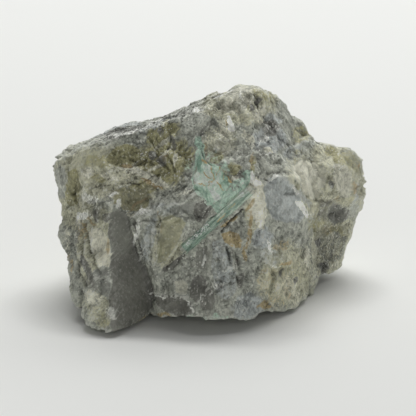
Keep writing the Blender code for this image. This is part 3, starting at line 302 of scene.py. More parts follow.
FACETS = {
    "emerald_stain": ({"green": 0.95}, 0.3, 0, [(-3.1, 14.8), (-1, 14.3), (-0.5, 12), (2.3, 10.8),
        (3.6, 9), (4.9, 7.4), (5.9, 4.6), (7.2, 4.6), (8.7, 5.9), (10, 7.4), (11.5, 8.7), (11.5, 6.1),
        (11, 4.1), (10.2, 2.8), (8.2, 1.3), (5.1, -1), (2.6, -2), (1.3, 0), (0.3, 1.5), (-3.6, 4.1),
        (-4.4, 7.2), (-3.3, 11)]),
    "cleavage_face": ({"dark": 0.8}, 1, 0, [(-25.3, -1.5), (-23.6, -0.3), (-21, -1), (-20.2, -3.6),
        (-19.2, -8.2), (-17.7, -12.5), (-15.6, -17.2), (-13.8, -21.2), (-14.3, -25.1), (-15.4, -27.4),
        (-18.7, -29.6), (-21.2, -31.6), (-24.6, -32.6), (-25.2, -27), (-25.5, -22), (-25.5, -12.8),
        (-25.6, -6.9)]),
    "cleavage_top": ({"dark": 0.5}, 1, 0, [(-25.1, -1.5), (-23.6, -0.5), (-21, -1.3), (-19.7, -7.2),
        (-19.2, -11.3), (-22.5, -12.3), (-24.8, -11.3)]),
    "beige_block": ({"cream": 0.3, "olive": 0.5}, 0.9, 0.5, [(-12, -2.8), (-10.2, -1.5), (-7.2, -2.3),
        (-5.6, -3.6), (-6.9, -7.2), (-8.7, -10.8), (-10.8, -13.8), (-13.1, -14.3), (-13.3, -12),
        (-12.8, -7.7)]),
    "slab": ({"blue_grey": 0.6}, 0.5, 0.6, [(15.4, 7.7), (17.4, 8.7), (20.2, 7.7), (22.8, 4.6), (23.6, 2),
        (25.1, -1.5), (23.6, -3.6), (20.5, -4.1), (16.9, -2.6), (14.8, 0.8), (13.8, 4.6)]),
    "quartz": ({"cream": 0.95, "white": 0.3}, 0.5, 0, [(10.5, 7.2), (12.5, 7.7), (14.1, 6.1), (14.8, 2),
        (15.1, -1.8), (14.3, -5.6), (12.3, -4.6), (10.8, -1), (9.7, 2.8)]),
    "lens": ({"dark": 0.7}, 0.8, 0.7, [(-13.8, -22.8), (-11, -21.8), (-7.7, -22.3), (-4.6, -23.6),
        (-3.3, -25.6), (-4.6, -27.6), (-7.7, -27.9), (-11, -26.6), (-13.1, -25.3)]),
    "cream_facet": ({"cream": 0.5, "olive": 0.3}, 0.8, 0.5, [(-8.7, -18.7), (-6.7, -17.9), (-5.1, -19.2),
        (-4.9, -21.8), (-6.7, -22.5), (-8.7, -21.5)]),
    "dark_facet": ({"dark": 0.75}, 0.85, 0.6, [(-3.8, -17.7), (-2, -16.9), (-0.5, -18.2), (0, -21),
        (-1.5, -23.6), (-3.3, -24.3), (-4.6, -22.5), (-4.4, -19.5)]),
    "low_facet": ({"dark": 0.6}, 0.8, 0.6, [(-0.8, -21), (1, -20.2), (2, -23.6), (1.3, -26.6),
        (-1.3, -26.6), (-2.3, -25.1)]),
    "grey_facet": ({"dark": 0.45}, 0.3, 0, [(-3.1, -10.8), (-0.5, -9.7), (1, -11.3), (1.5, -14.8),
        (-0.5, -16.4), (-2.8, -15.4)]),
    "ledge_roof": ({"dark": 0.45, "blue_grey": 0.4}, 0.6, 0.5, [(-9.7, -0.5), (-6.7, 1.3), (-3.1, 2),
        (-1, 0.5), (-2, -1.5), (-5.1, -1.5), (-8.2, -2)]),
    "mica_spot": ({"dark": 0.8}, 0, 0, [(-3.1, 1.3), (-0.5, 2), (1, 0), (0, -2.6), (-2.6, -3.6),
        (-3.8, -1.5)]),
    "hollow": ({"olive": 0.9}, 0.1, 0.5, [(-26.1, 12.8), (-24.6, 15.1), (-21.5, 16.4), (-18.4, 15.9),
        (-16.9, 14.3), (-17.4, 12.3), (-20, 10.8), (-23, 10.5), (-25.3, 11.3)]),
    "left_end": ({"blue_grey": 0.3, "cream": 0.3}, 0.6, 0, [(-39.4, 9.2), (-38.1, 11), (-36.6, 10.2),
        (-36.1, 7.2), (-36.4, 3.3), (-37.4, 2), (-38.9, 4.6)]),
    "left_patch": ({"olive": 1}, 0.5, 0.2, [(-35.6, 9.2), (-33.8, 10.2), (-32.8, 8.2), (-32.8, 4.6),
        (-33.3, 1), (-35.3, 0.5), (-36.4, 2.6), (-36.1, 6.1)]),
    "olive_lens": ({"olive": 0.6, "dark": 0.35}, 0.4, 0.2, [(-24.6, 4.1), (-22, 5.4), (-17.4, 4.6),
        (-14.6, 3.1), (-15.4, 0.5), (-17.9, -1), (-21.5, -0.5), (-24.1, 1)]),
    "crest_strip": ({"dark": 0.55}, 0, 0.2, [(-26.6, 18.4), (-25.1, 20), (-22, 20.7), (-17.9, 21),
        (-16.4, 20.5), (-17.9, 19.2), (-22, 17.9), (-25.1, 17.2)]),
    "saddle_face": ({"cream": 0.6}, 0.9, 0.1, [(21.5, 10.8), (24.1, 12.3), (27.6, 11.8), (30, 10.2),
        (30.2, 6.7), (29.2, 3.6), (26.6, 2), (24.6, 4.1), (22.5, 7.2)]),
    "block_face": ({"cream": 0.7}, 0.6, 0.4, [(32.3, 11.3), (35.1, 11), (37.1, 8.2), (37.9, 4.6),
        (35.8, 2.6), (33.3, 3.6), (32, 6.7)]),
    "block_top": ({"olive": 0.5}, 0.7, 0, [(33.8, 14.3), (36.4, 15.1), (38.9, 14.1), (40.2, 11),
        (39.4, 7.7), (37.4, 9.2), (35.1, 11.8)]),
    # painted shade under the right block, laid on as the dark mineral
    "undercut": ({"dark": 0.6}, 0.2, 0, [(30.7, 0.5), (33.8, 1), (36.4, -0.5), (35.3, -3.1), (32.3, -4.6),
        (30.5, -2.6)]),
    "peak": ({"cream": 0.45, "olive": 0.45}, 0.6, 0, [(2, 26.1), (4.6, 29.2), (8.2, 31.5), (10.8, 31.7),
        (11.3, 28.7), (9.7, 24.6), (7.7, 23.6), (4.6, 24.6)]),
    "boss": ({"ochre": 0.9}, 0.2, 0, [(3.6, -6.7), (5.6, -5.6), (7.7, -6.7), (9, -8.7), (8.2, -10.5),
        (6.1, -10), (4.1, -8.7)]),
    "cream_column": ({"cream": 0.75}, 0.55, 0.4, [(-31.2, -6.1), (-28.7, -5.1), (-26.6, -6.1),
        (-25.1, -8.2), (-24.8, -12), (-25.1, -15.4), (-27.6, -14.8), (-29.2, -12.3), (-30.7, -9.5)]),
    # painted shade along the buttress's left edge, laid on as the dark mineral
    "column_shade": ({"dark": 0.75}, 0.3, 0.2, [(-32.8, -11.8), (-31.5, -12.8), (-29.7, -16.4),
        (-28.2, -19.5), (-29.7, -20), (-31.7, -16.4), (-33, -13.8)]),
    "column_foot": ({"dark": 0.45, "blue_grey": 0.4}, 0, 0.2, [(-29.7, -15.9), (-26.6, -14.8),
        (-24.8, -15.9), (-24.6, -21), (-25.6, -23.6), (-28.2, -21.5), (-29.7, -18.9)]),
    "low_cream": ({"cream": 0.7}, 0.2, 0.2, [(-32.3, -21.5), (-30.2, -21), (-28.2, -23), (-28.4, -25.1),
        (-30.7, -24.6)]),
    "green_lip": ({"green": 0.6}, 0.2, 0, [(-5.6, -27.6), (-2, -27.9), (1.5, -27.1), (4.6, -27.4),
        (6.4, -28.2), (5.9, -29.4), (1.5, -29.4), (-2, -29.2), (-5.1, -28.7)]),
    "lilac_foot": ({"blue_grey": 0.65}, 0.2, 0.4, [(7.2, -23), (10.8, -21.5), (13.8, -23), (14.8, -25.6),
        (12.8, -28.7), (9.2, -29.4), (6.7, -28.2)]),
    "folds": ({"blue_grey": 0.5}, 0, 0, [(1, -8.2), (4.4, -7.7), (6.7, -13.8), (7.7, -21), (5.1, -23.6),
        (2, -22.5), (0.8, -15.9)]),
    "lobe_face": ({"olive": 0.4, "cream": 0.3}, 0.3, 0.2, [(29.2, -7.7), (32.8, -5.6), (35.3, -7.2),
        (35.3, -11.3), (32.8, -13.8), (29.7, -13.8), (28.2, -10.8)]),
    # painted shade under the lower right lobe, laid on as the dark mineral
    "lobe_shade": ({"dark": 0.7}, 0.2, 0, [(28.2, -14.3), (30.2, -13.3), (31.2, -15.4), (29.2, -17.4)]),
}

FACET_EDGE = 0.3                # how softly a face ends
FACET_COVER = 0.85              # how far it hides the strokes under it
RIM_WIDTH = 0.5                 # how far the crushed grains reach either side of its edge

# ---- lines on the front: (points as (across, up), half width, height, a cleft below zero) ----

LINES = {
    "crack": ([(3.9, -5.8), (6.2, -2.9), (8.8, -0.3)], 0.32, -1.4),
    "left_cleft": ([(5, -10.2), (5.6, -12.2), (6, -14.4)], 0.45, -1.3),
    "right_cleft": ([(7.2, -17), (8, -19.3)], 0.35, -0.9),
    "gutter": ([(-19.2, -3), (-17.2, -12), (-15, -19), (-13.8, -24)], 0.5, -0.7),
    "lens_lip": ([(-15.4, -21), (-11, -22.4), (-6.6, -22.9), (-4.6, -23)], 0.45, 0.45),
    "facet_seam": ([(-5.4, -23.2), (-2.6, -27.4), (0.6, -22.2), (1.4, -18.4)], 0.4, 0.4),
    "ledge_lip": ([(-16, -2), (-11.6, 0.4), (-6.4, 1.4), (-3, 4.4)], 0.6, 0.45),
    "block_edge": ([(-13.2, -3.6), (-14.3, -8), (-14, -13.4)], 0.35, 0.3),
    "block_top": ([(-13, -3.4), (-9, -2.6), (-6.2, -1.6)], 0.35, 0.3),
    "slab_edge": ([(14.4, 6.2), (16.8, 8), (20, 7.6), (22.6, 4.4), (24.2, 1)], 0.4, 0.45),
    "slab_shade": ([(15.2, 9), (19.6, 9.2), (23.2, 6.2)], 0.5, -0.4),
    "saddle_step": ([(24.2, 14.6), (27, 11.4), (28.4, 8)], 0.4, -0.5),
    "block_gap": ([(31.6, 13.8), (33.6, 10.4), (36, 8.6)], 0.45, -0.6),
    "under_block": ([(27.6, 2), (31.6, 1.6), (35.4, 3.2)], 0.6, -0.8),
    "column_gap": ([(-31.6, -4), (-31.2, -9), (-29.6, -14), (-27, -18)], 0.5, -0.8),
    "column_edge": ([(-29.4, -5), (-29.6, -10), (-27.4, -15.6)], 0.5, 0.5),
    "side_gap": ([(-34.6, -9.4), (-33.2, -16), (-30.4, -22)], 0.4, -0.6),
    "hollow_brow": ([(-27, 15.2), (-22, 17.4), (-16.4, 17.2)], 0.6, 0.3),
    "left_face_edge": ([(-32.4, 10.6), (-31.4, 6), (-31.8, 0.6)], 0.5, 0.4),
    "arc": ([(8.8, -1.6), (10.6, -5.6), (10, -10.6)], 0.35, 0.3),
    "boss_arc": ([(7.2, -3.6), (8.6, -6.4), (7.8, -10)], 0.3, -0.4),
    "foot_lip": ([(-21.6, -30.4), (-17, -28.2), (-14.2, -26.6)], 0.4, 0.35),
    "left_vein": ([(0.5, -11.3), (0.3, -17.9), (2, -21)], 0.32, 0.3),
    "cleft_lip": ([(5.6, -10.8), (7.2, -15.9), (8.4, -20)], 0.3, 0.3),
    "right_vein": ([(10.2, -9.7), (9.2, -12.8), (11.3, -16.9), (13.3, -20)], 0.3, 0.3),
    "facet_side": ([(-2, -23), (0, -20), (1, -16.9)], 0.3, 0.35),
    "block_side": ([(-12.3, -3.6), (-12.6, -10.8), (-13.4, -13.8)], 0.3, 0.3),
    "prism_vein": ([(-7.4, -10.2), (-10.4, -15.2)], 0.4, -0.5),
    "crest_lip": ([(-36.6, 12.6), (-32.4, 15), (-26, 18.4), (-16.4, 19.6), (-9, 22.6),
        (1.8, 28.6)], 0.5, 0.3),
    "brown_seam": ([(-14.6, 17.6), (-13.2, 13.4), (-10, 9.8)], 0.35, -0.5),
    "brown_hackle": ([(-9.6, 18), (-10.6, 13.6), (-8.4, 9.4)], 0.35, -0.5),
    "band_seam": ([(-22.6, 6.2), (-17.6, 6.4), (-12.6, 8.6)], 0.3, -0.5),
    "shoulder_seam": ([(-33.6, 8.6), (-34.2, 3.6), (-33, -1)], 0.35, -0.5),
    "peak_seam": ([(11.8, 27.6), (14.6, 22.6), (19, 17.6), (23.4, 13)], 0.4, -0.5),
}


# ---- noise: the same numbers each run ----

def lattice(counts, seed):
    """A number in 0..1 for each whole-number cell: its three counts mixed by multiply and shift."""
    h = counts.astype(np.int64).astype(np.uint32)
    mixed = h[..., 0] * np.uint32(374761393) + h[..., 1] * np.uint32(668265263)
    mixed = mixed + h[..., 2] * np.uint32(2246822519) + np.uint32(seed * 3266489 + 97)
    mixed = (mixed ^ (mixed >> np.uint32(13))) * np.uint32(1274126177)
    mixed = (mixed ^ (mixed >> np.uint32(16))) * np.uint32(2654435761)
    return (mixed ^ (mixed >> np.uint32(15))).astype(np.float64) / 4294967296.0


def smooth_noise(points, size, seed):
    """Numbers in -1..1 that change smoothly over about size: eight cell corners, eased between."""
    scaled = points / size
    cell = np.floor(scaled)
    ease = scaled - cell
    ease = ease * ease * (3.0 - 2.0 * ease)
    total = np.zeros(len(points))
    for corner in np.ndindex(2, 2, 2):
        weight = np.prod(np.where(np.array(corner) == 1, ease, 1.0 - ease), axis=1)
        total += weight * lattice(cell + np.array(corner), seed)
    return 2.0 * total - 1.0


def noise_vector(points, size, seed):
    """Three smooth noises side by side, for shaking points sideways."""
    return np.stack([smooth_noise(points, size, seed + k) for k in range(3)], axis=1)


def shaken(points, *waves):
    """Points moved sideways by smooth noises, each (amount, size, seed)."""
    moved = points
    for amount, size, seed in waves:
        moved = moved + amount * noise_vector(points, size, seed)
    return moved


def leaned(points, cosine, sine, stretch):
    """Points turned about Y and pressed together along Z: noise read there leans and is drawn out."""
    turned = points @ np.array([[cosine, 0.0, -sine], [0.0, 1.0, 0.0], [sine, 0.0, cosine]])
    return turned * [1.0, 1.0, stretch]


def cells(points, size, seed):
    """The nearest seed point's cell: (distance to it over size, a number per cell, tilted height).

    Each cubic cell of the given size holds one seed point; the tilted height is the dot product of
    the way from the seed point with that cell's own slope, a flat chip.
    """
    scaled = points / size
    cell = np.floor(scaled)
    nearest = np.full(len(points), 1e9)
    height = np.zeros(len(points))
    number = np.zeros(len(points))
    for shift in np.ndindex(3, 3, 3):
        other = cell + np.array(shift) - 1.0
        seed_point = other + np.stack([lattice(other, seed + k) for k in range(3)], axis=1)
        tilt = np.stack([lattice(other, seed + 3 + k) for k in range(3)], axis=1) - 0.5
        away = scaled - seed_point
        distance = np.sum(away * away, axis=1)
        closer = distance < nearest
        nearest = np.where(closer, distance, nearest)
        height = np.where(closer, np.sum(away * tilt, axis=1) + 0.5 * tilt[:, 0], height)
        number = np.where(closer, tilt[:, 1] + 0.5, number)
    return np.sqrt(nearest), number, height


def fracture_facets(points, size, slope, seed):
    """Flat tilted chips, size across, that rise or fall by slope."""
    height = cells(points, size, seed)[2]
    return np.clip(height * 2.0 * slope * size, -slope * size, slope * size)


# ---- the rock's form ----

def unit(vectors):
    """The vectors, each one long."""
    return vectors / np.linalg.norm(vectors, axis=1)[:, None]


def along(line):
    """Points along a line of corners, LINE_STEP apart or closer, the last corner left out."""
    corners = np.array(line, float)
    pieces = []
    for start, end in zip(corners[:-1], corners[1:]):
        count = max(1, int(np.ceil(np.linalg.norm(end - start) / LINE_STEP)))
        pieces.append(start + (end - start) * (np.arange(count) / count)[:, None])
    return np.concatenate(pieces)


def cage_points():
    """Every given point and the points between them along the edges, without doubles."""
    lines = [along(OUTLINE)]
    for line in EDGES.values():
        lines.append(along(line))
        lines.append(np.array(line[-1:], float))
    lines += [np.array(points, float) for points in FACE_POINTS.values()]
    points = np.concatenate(lines)
    _, first = np.unique(np.round(points, 3), axis=0, return_index=True)
    return points[np.sort(first)]


def cage_triangles(points):
    """Corner numbers of the flat faces: the convex hull of the points' directions from CORE."""
    mesh = bmesh.new()
    corners = [mesh.verts.new(direction) for direction in unit(points - np.array(CORE))]
    for number, corner in enumerate(corners):
        corner.index = number
    bmesh.ops.convex_hull(mesh, input=corners, use_existing_faces=False)
    triangles = np.array([[v.index for v in face.verts] for face in mesh.faces])
    mesh.free()
    return triangles


def skin_radius(directions):
    """Distance from CORE to the flat faces along each direction.

    A direction d is a mix of a face's three corner offsets, d = w0 a + w1 b + w2 c.  The face that
    it leaves through is the one whose weights are all positive, and the distance is 1 / (w0+w1+w2).
    """
    points = cage_points()
    offsets = points - np.array(CORE)
    weights = np.linalg.inv(offsets[cage_triangles(points)].transpose(0, 2, 1))
    radius = np.zeros(len(directions))
    for start in range(0, len(directions), 2000):
        part = directions[start:start + 2000]
        mix = np.einsum("tij,nj->nti", weights, part)
        best = np.argmax(mix.min(axis=2), axis=1)
        radius[start:start + 2000] = 1.0 / mix[np.arange(len(part)), best].sum(axis=1)
    return radius


def distance_to_segment(points, start, end):
    """Distance of each point from the straight line between start and end."""
    start, end = np.array(start), np.array(end)
    run = end - start
    share = np.clip((points - start) @ run / (run @ run), 0.0, 1.0)
    return np.linalg.norm(points - start - share[:, None] * run, axis=1)


def distance_to_line(points, corners):
    """Distance of each point from a line of straight stretches between corners."""
    return np.min([distance_to_segment(points, *ends) for ends in zip(corners[:-1], corners[1:])], axis=0)


def calm(points):
    """How rough the skin may be, 0..1: quiet on the cleavage face and around the emeralds."""
    quiet = 1.0
    for start, end, still, over in CALM_LINES:
        quiet = np.minimum(quiet, (distance_to_segment(points, start, end) - still) / over)
    return CALMEST + (1.0 - CALMEST) * np.clip(quiet, 0.0, 1.0)


def swells(points):
    """Dents and lumps: each a round bump, (1 - q)^2 of the squared distance q in its own radii."""
    total = np.zeros(len(points))
    for centre, radii, height in SWELLS:
        q = np.sum(((points - np.array(centre)) / np.array(radii)) ** 2, axis=1) / 2.0
        total += height * np.clip(1.0 - q, 0.0, 1.0) ** 2
    return total


def columns(points):
    """Upright ribs on the buttress: smooth noise drawn out along Z, faded in below its top."""
    ribs = smooth_noise(points * [1.0, 1.0, 0.16], 2.7, 90)
    inside = 1.0
    for axis, edge, over in RIBS_WITHIN:
        inside = inside * np.clip((edge - points[:, axis]) / over, 0.0, 1.0)
    return RIB_HEIGHT * ribs * inside


def relief(points):
    """Height of the fracture facets, large and small, plus the ribs, dents and lumps."""
    wandering = shaken(points, (1.1, 5.0, 40), (0.4, 1.8, 50))
    facets = fracture_facets(wandering, 9.0, 0.085, 60)
    facets += fracture_facets(wandering, 4.6, 0.105, 70)
    facets += 0.15 * smooth_noise(points, 2.6, 80)
    return facets * calm(points) + columns(points) + swells(points)


def clean_breaks(points, directions, heights):
    """Heights with the clean breaks shaved flat.

    Within a break's radius, skin that stands proud of the plane through its centre moves back along
    its direction onto that plane, to the height -((p - c) . n + BREAK_DEPTH) / (d . n).  The rim of
    the radius is read at points shaken sideways, so that it is ragged.
    """
    ragged = shaken(points, (1.6, 4.0, 30), (0.6, 1.7, 35))
    for centre, normal, radii in CLEAN_BREAKS:
        outward = np.array(normal) / np.linalg.norm(normal)
        reach = 1.0 - np.sum(((ragged - np.array(centre)) / np.array(radii)) ** 2, axis=1)
        share = np.clip(reach / BREAK_RIM, 0.0, 1.0)
        facing = np.maximum(directions @ outward, 0.3)
        onto = -((points - np.array(centre)) @ outward + BREAK_DEPTH) / facing
        taken = np.clip(heights - onto, 0.0, BREAK_LIMIT)
        heights = heights - share * taken
    return heights


def rough_skin(directions):
    """The rock's form as in the frame: points for a set of directions from CORE.

    The flat faces are read at directions moved a little sideways, so that their edges wander.
    """
    moved = unit(shaken(directions, (0.022, 0.22, 10), (0.010, 0.07, 20)))
    surface = np.array(CORE) + skin_radius(moved)[:, None] * directions
    heights = clean_breaks(surface, directions, relief(surface))
    return surface + heights[:, None] * directions


# ---- the front view, and what is painted and carved in it ----

def eye_axes():
    """The way from the lump to the eye, and the view's upward direction."""
    rise = np.radians(EYE_RISE)
    return np.array([0.0, -np.cos(rise), np.sin(rise)]), np.array([0.0, np.sin(rise), np.cos(rise)])


def front_view(points):
    """(across, up) of each point: where its line to the eye meets the plane through the middle."""
    to_eye, upward = eye_axes()
    away = points - VIEW_MIDDLE
    nearness = EYE_DISTANCE / (EYE_DISTANCE - away @ to_eye)
    return np.stack([away[:, 0] * nearness, (away @ upward) * nearness], axis=1)


def painted(places, strokes):
    """Strength of a set of strokes: soft-edged ellipses, the strongest one at each place."""
    total = np.zeros(len(places))
    for across, up, half_length, half_width, turn, strength in strokes:
        angle = np.radians(turn)
        away = places - np.array([across, up])
        length = (away[:, 0] * np.cos(angle) + away[:, 1] * np.sin(angle)) / half_length
        width = (away[:, 1] * np.cos(angle) - away[:, 0] * np.sin(angle)) / half_width
        inside = np.clip((STROKE_END - np.sqrt(length ** 2 + width ** 2)) / STROKE_FADE, 0.0, 1.0)
        total = np.maximum(total, strength * inside)
    return total


def carved(places, lines):
    """Height of the clefts and lips: a ridge 1 - (distance / half width)^2 along each line."""
    total = np.zeros(len(places))
    for corners, half_width, height in lines.values():
        nearest = distance_to_line(places, corners)
        total += height * np.clip(1.0 - (nearest / half_width) ** 2, 0.0, 1.0)
    return total


def depth_inside(places, corners):
    """Distance of each place from a closed outline, above zero inside it.

    A place lies inside where the level line to its right crosses the outline an odd number of times.
    """
    closed = corners + corners[:1]
    nearest = distance_to_line(places, closed)
    crossings = np.zeros(len(places), int)
    for start, end in zip(closed[:-1], closed[1:]):
        spans = (start[1] > places[:, 1]) != (end[1] > places[:, 1])
        slope = (end[0] - start[0]) / (end[1] - start[1] or 1e-9)
        crossings += spans & (places[:, 0] < start[0] + (places[:, 1] - start[1]) * slope)
    return np.where(crossings % 2 == 1, nearest, -nearest)


def add_facets(places, facing_eye, minerals, broken):
    """Lays the flat faces over the strokes, rust and white streaks excepted, and returns the rims."""
    rims = np.zeros(len(places))
    for own, smoothness, rim, corners in FACETS.values():
        depth = depth_inside(places, corners)
        share = np.clip(0.5 + depth / FACET_EDGE, 0.0, 1.0) * facing_eye
        for label in minerals:
            kept = 1.0 if label in ("ochre", "white") else 1.0 - FACET_COVER * share
            minerals[label] = np.maximum(kept * minerals[label], own.get(label, 0.0) * share)
        for label in broken:
            wanted = smoothness if label == "smooth" else (1.0 - smoothness) * broken[label]
            broken[label] = broken[label] + share * (wanted - broken[label])
        rims = np.maximum(rims, rim * np.clip(1.0 - np.abs(depth) / RIM_WIDTH, 0.0, 1.0) * facing_eye)
    return rims


def grid_normals(points):
    """Unit normals of the rock's grid, which closes round: the cross product of its differences."""
    grid = points.reshape(ROWS, COLUMNS, 3)
    across = np.roll(grid, -1, axis=1) - np.roll(grid, 1, axis=1)
    return unit(np.cross(across, np.gradient(grid, axis=0)).reshape(-1, 3))


def blurred(values, reach):
    """Values averaged over a square of the rock's grid, first along the rows and then up the columns."""
    grid = values.reshape(ROWS, COLUMNS)
    total = sum(np.roll(grid, k, axis=1) for k in range(-reach, reach + 1)) / (2 * reach + 1)
    padded = np.pad(total, ((reach, reach), (0, 0)), mode="edge")
    total = sum(padded[k:k + ROWS] for k in range(2 * reach + 1)) / (2 * reach + 1)
    return total.ravel()


def proud_of_mean(points, outward, reach):
    """How far each point stands out, along its normal, from the mean of the points about it."""
    mean = np.stack([blurred(points[:, k], reach) for k in range(3)], axis=1)
    return np.clip(np.sum((points - mean) * outward, axis=1), -PROUD_LIMIT, PROUD_LIMIT)


def direction_grid():
    """Directions in rows of equal height angle, the columns crowded towards the front (-Y).

    Column t in 0..1 stands at the angle 2 pi t + c sin(2 pi t) from the back; rows follow ROW_KNOTS.
    """
    turn = 2.0 * np.pi * np.arange(COLUMNS) / COLUMNS
    turn = turn + FRONT_CROWDING * np.sin(turn)
    share = (np.arange(ROWS) + 0.5) / ROWS
    rise = np.radians(np.interp(share, *ROW_KNOTS))
    rise, turn = np.meshgrid(rise, turn, indexing="ij")
    flat = np.cos(rise)
    return np.stack([-flat * np.sin(turn), flat * np.cos(turn), np.sin(rise)], axis=2).reshape(-1, 3)


def fine_relief(points, broken, lines, shown):
    """Height of what is smaller than a step in the frame: chips, hackles, knobs, folds and grain."""
    quiet = 1.0 - 0.88 * broken["smooth"]
    slanting = leaned(shaken(points, (0.7, 2.4, 110), (0.3, 0.9, 120)), 0.9, 0.44, 0.55)
    chips = fracture_facets(slanting, 2.6, 0.08, 130) + fracture_facets(slanting, 1.2, 0.06, 135)
    leaning = leaned(points, 0.8, 0.6, 0.45) + 0.5 * noise_vector(points, 1.5, 150)
    hackles = 0.35 - np.abs(smooth_noise(leaning, 1.5, 160))
    hackles -= 0.5 * np.abs(smooth_noise(leaning, 0.75, 165))
    distance, number, _ = cells(shaken(points, (0.35, 1.2, 170)), 2.6, 175)
    knobs = 0.5 - np.clip(distance, 0.0, 1.0) ** 2 + 0.5 * number
    drawn = points * [1.0, 1.0, 0.22] + 0.6 * noise_vector(points, 4.0, 180)
    folds = 0.4 - np.abs(smooth_noise(drawn, 1.3, 185))
    grain = smooth_noise(points, 0.7, 190)
    striae = smooth_noise(points * [1.0, 1.0, 0.06], 0.55, 195)
    total = chips * quiet * (1.0 - 0.6 * broken["nodular"])
    for height, form, where in ((0.6, hackles, broken["hackly"]), (0.5, knobs, broken["nodular"]),
                                (0.6, folds, broken["folded"]), (0.05, grain, 1.0)):
        total += height * form * where * quiet
    return total + 0.03 * striae * broken["smooth"] + lines * shown


# ---- where the emeralds sit ----

CRUST = [(0.0, 0.5), (0.08, -0.2), (0.45, -0.2), (0.6, 0.1), (1.0, 0.4)]    # (share of the prism, height)
CRUST_BESIDE, CRUST_LIMIT = 2.3, 1.4        # how far from the prism's axis it stands, and its height
PRISM_BED, PATCH_BED = 0.3, 0.8             # how deep the rock gives way beneath them


def prism_axes():
    """The prism's low end, its run to the high end, and the two unit directions across it."""
    low, high = Vector(PRISM_LOW), Vector(PRISM_HIGH)
    axis = (high - low).normalized()
    side = axis.cross(Vector((0.0, 1.0, 0.0))).normalized()
    outward = side.cross(axis).normalized()
    return np.array(low), np.array(high - low), np.array(side), np.array(outward)


def patch_share(places):
    """How far out each front-view place lies on the pale emerald: 0 at its middle, 1 at its rim.

    Both the place and the rim are read as an angle and a distance round the rim's middle, and the
    share is the place's distance over the rim's distance at that angle.
    """
    rim = front_view(np.array(MASS_RIM, float))
    middle = rim.mean(axis=0)
    rim_angle = np.arctan2(rim[:, 1] - middle[1], rim[:, 0] - middle[0])
    order = np.argsort(rim_angle)
    rim_far = np.linalg.norm(rim - middle, axis=1)
    away = places - middle
    angle = np.arctan2(away[:, 1], away[:, 0])
    far = np.interp(angle, rim_angle[order], rim_far[order], period=2.0 * np.pi)
    return np.linalg.norm(away, axis=1) / far


def bed(points, places, facing_eye):
    """How far the rock's skin moves at the emeralds: in beneath them, and out in a ragged crust beside."""
    low, run, _, _ = prism_axes()
    share = np.clip((points - low) @ run / (run @ run), 0.0, 1.0)
    prism = distance_to_segment(points, PRISM_LOW, PRISM_HIGH)
    ragged = 0.55 * smooth_noise(points, 1.0, 570) + 0.45 * smooth_noise(points, 2.4, 575)
    under_prism = np.clip((PRISM_ACROSS / 2.0 - 0.5 - prism) / 0.4, 0.0, 1.0)
    height = np.interp(share, *zip(*CRUST)) + 0.5 * ragged
    beside = np.clip(1.0 - (prism - CRUST_BESIDE) ** 2, 0.0, 1.0)
    crust = np.clip(height, 0.0, CRUST_LIMIT) * beside * facing_eye * (1.0 - under_prism)
    frayed = places + 0.5 * noise_vector(points, 1.4, 580)[:, :2]
    under_patch = np.clip((0.90 - patch_share(frayed)) / 0.12, 0.0, 1.0) * facing_eye
    pressed = np.maximum(PRISM_BED * under_prism, PATCH_BED * under_patch)
    return crust * (1.0 - under_patch) - pressed, np.maximum(pressed, 0.4 * beside)


# ---- meshes ----

def closed_mesh(name, rows, low_pole, high_pole, values):
    """A closed skin from a grid that runs round in its columns, with a pole point at either end.

    rows has the shape (rows, columns, 3), in millimetres, and goes up from the low pole.  values maps
    an attribute's name to a grid of numbers, whose poles take the mean of the row beside them.
    """
    count_up, count_round = rows.shape[:2]
    points = np.concatenate([rows.reshape(-1, 3), [low_pole, high_pole]])
    corner = np.arange(count_up * count_round).reshape(count_up, count_round)
    after = np.roll(corner, -1, axis=1)
    quads = np.stack([corner[:-1], after[:-1], after[1:], corner[1:]], axis=-1).reshape(-1, 4)
    low = np.full(count_round, count_up * count_round)
    triangles = np.concatenate([np.stack([low, after[0], corner[0]], axis=1),
                                np.stack([low + 1, corner[-1], after[-1]], axis=1)])
    mesh = bpy.data.meshes.new(name)
    mesh.from_pydata(points * MM, [], quads.tolist() + triangles.tolist())
    for label, grid in values.items():
        numbers = np.concatenate([grid.ravel(), [grid[0].mean(), grid[-1].mean()]])
        layer = mesh.attributes.new(label, "FLOAT", "POINT")
        layer.data.foreach_set("value", numbers.astype(np.float32))
    mesh.shade_smooth()
    piece = bpy.data.objects.new(name, mesh)
    bpy.context.scene.collection.objects.link(piece)
    return piece


def scattered(points, size, cover, seed):
    """Patches about size across that cover the given share, 0 outside and 1 inside, soft-edged."""
    value = smooth_noise(points, size, seed) + 0.5 * smooth_noise(points, size * 0.45, seed + 5)
    edge = np.quantile(value, 1.0 - cover)
    return np.clip((value - edge) / 0.35 + 0.5, 0.0, 1.0)


# the share of the sides and the back that each mineral and each kind of break covers
HIDDEN_COVER = {"warm": 0.50, "olive": 0.20, "cream": 0.22, "ochre": 0.06, "dark": 0.16,
                "blue_grey": 0.24, "white": 0.04, "green": 0.0}
HIDDEN_BROKEN = {"smooth": 0.30, "hackly": 0.30, "nodular": 0.16, "folded": 0.12}
HIDDEN_STRENGTH = 0.7           # of a stroke on the front


def mixed(points, places, facing_eye, strokes, cover, size, seed):
    """A set of masks: the strokes where the skin faces the eye, and leaning patches elsewhere."""
    masks = {}
    leaning = leaned(points, 0.8, -0.6, 0.45)
    for number, label in enumerate(strokes):
        chance = HIDDEN_STRENGTH * scattered(leaning, size, cover[label], seed + 11 * number)
        masks[label] = facing_eye * painted(places, strokes[label]) + (1.0 - facing_eye) * chance
    return masks


FACING = (-0.35, 0.15)          # the cosine to the eye at which the strokes begin, and over how much
# the reach of the near and wide marks, which become painted shade in hollows and painted highlight on proud
# points
NEAR, WIDE = 3, 10              # grid cells over which a point's neighbours are averaged
PROUD_LIMIT = 1.2               # the most that is told of it


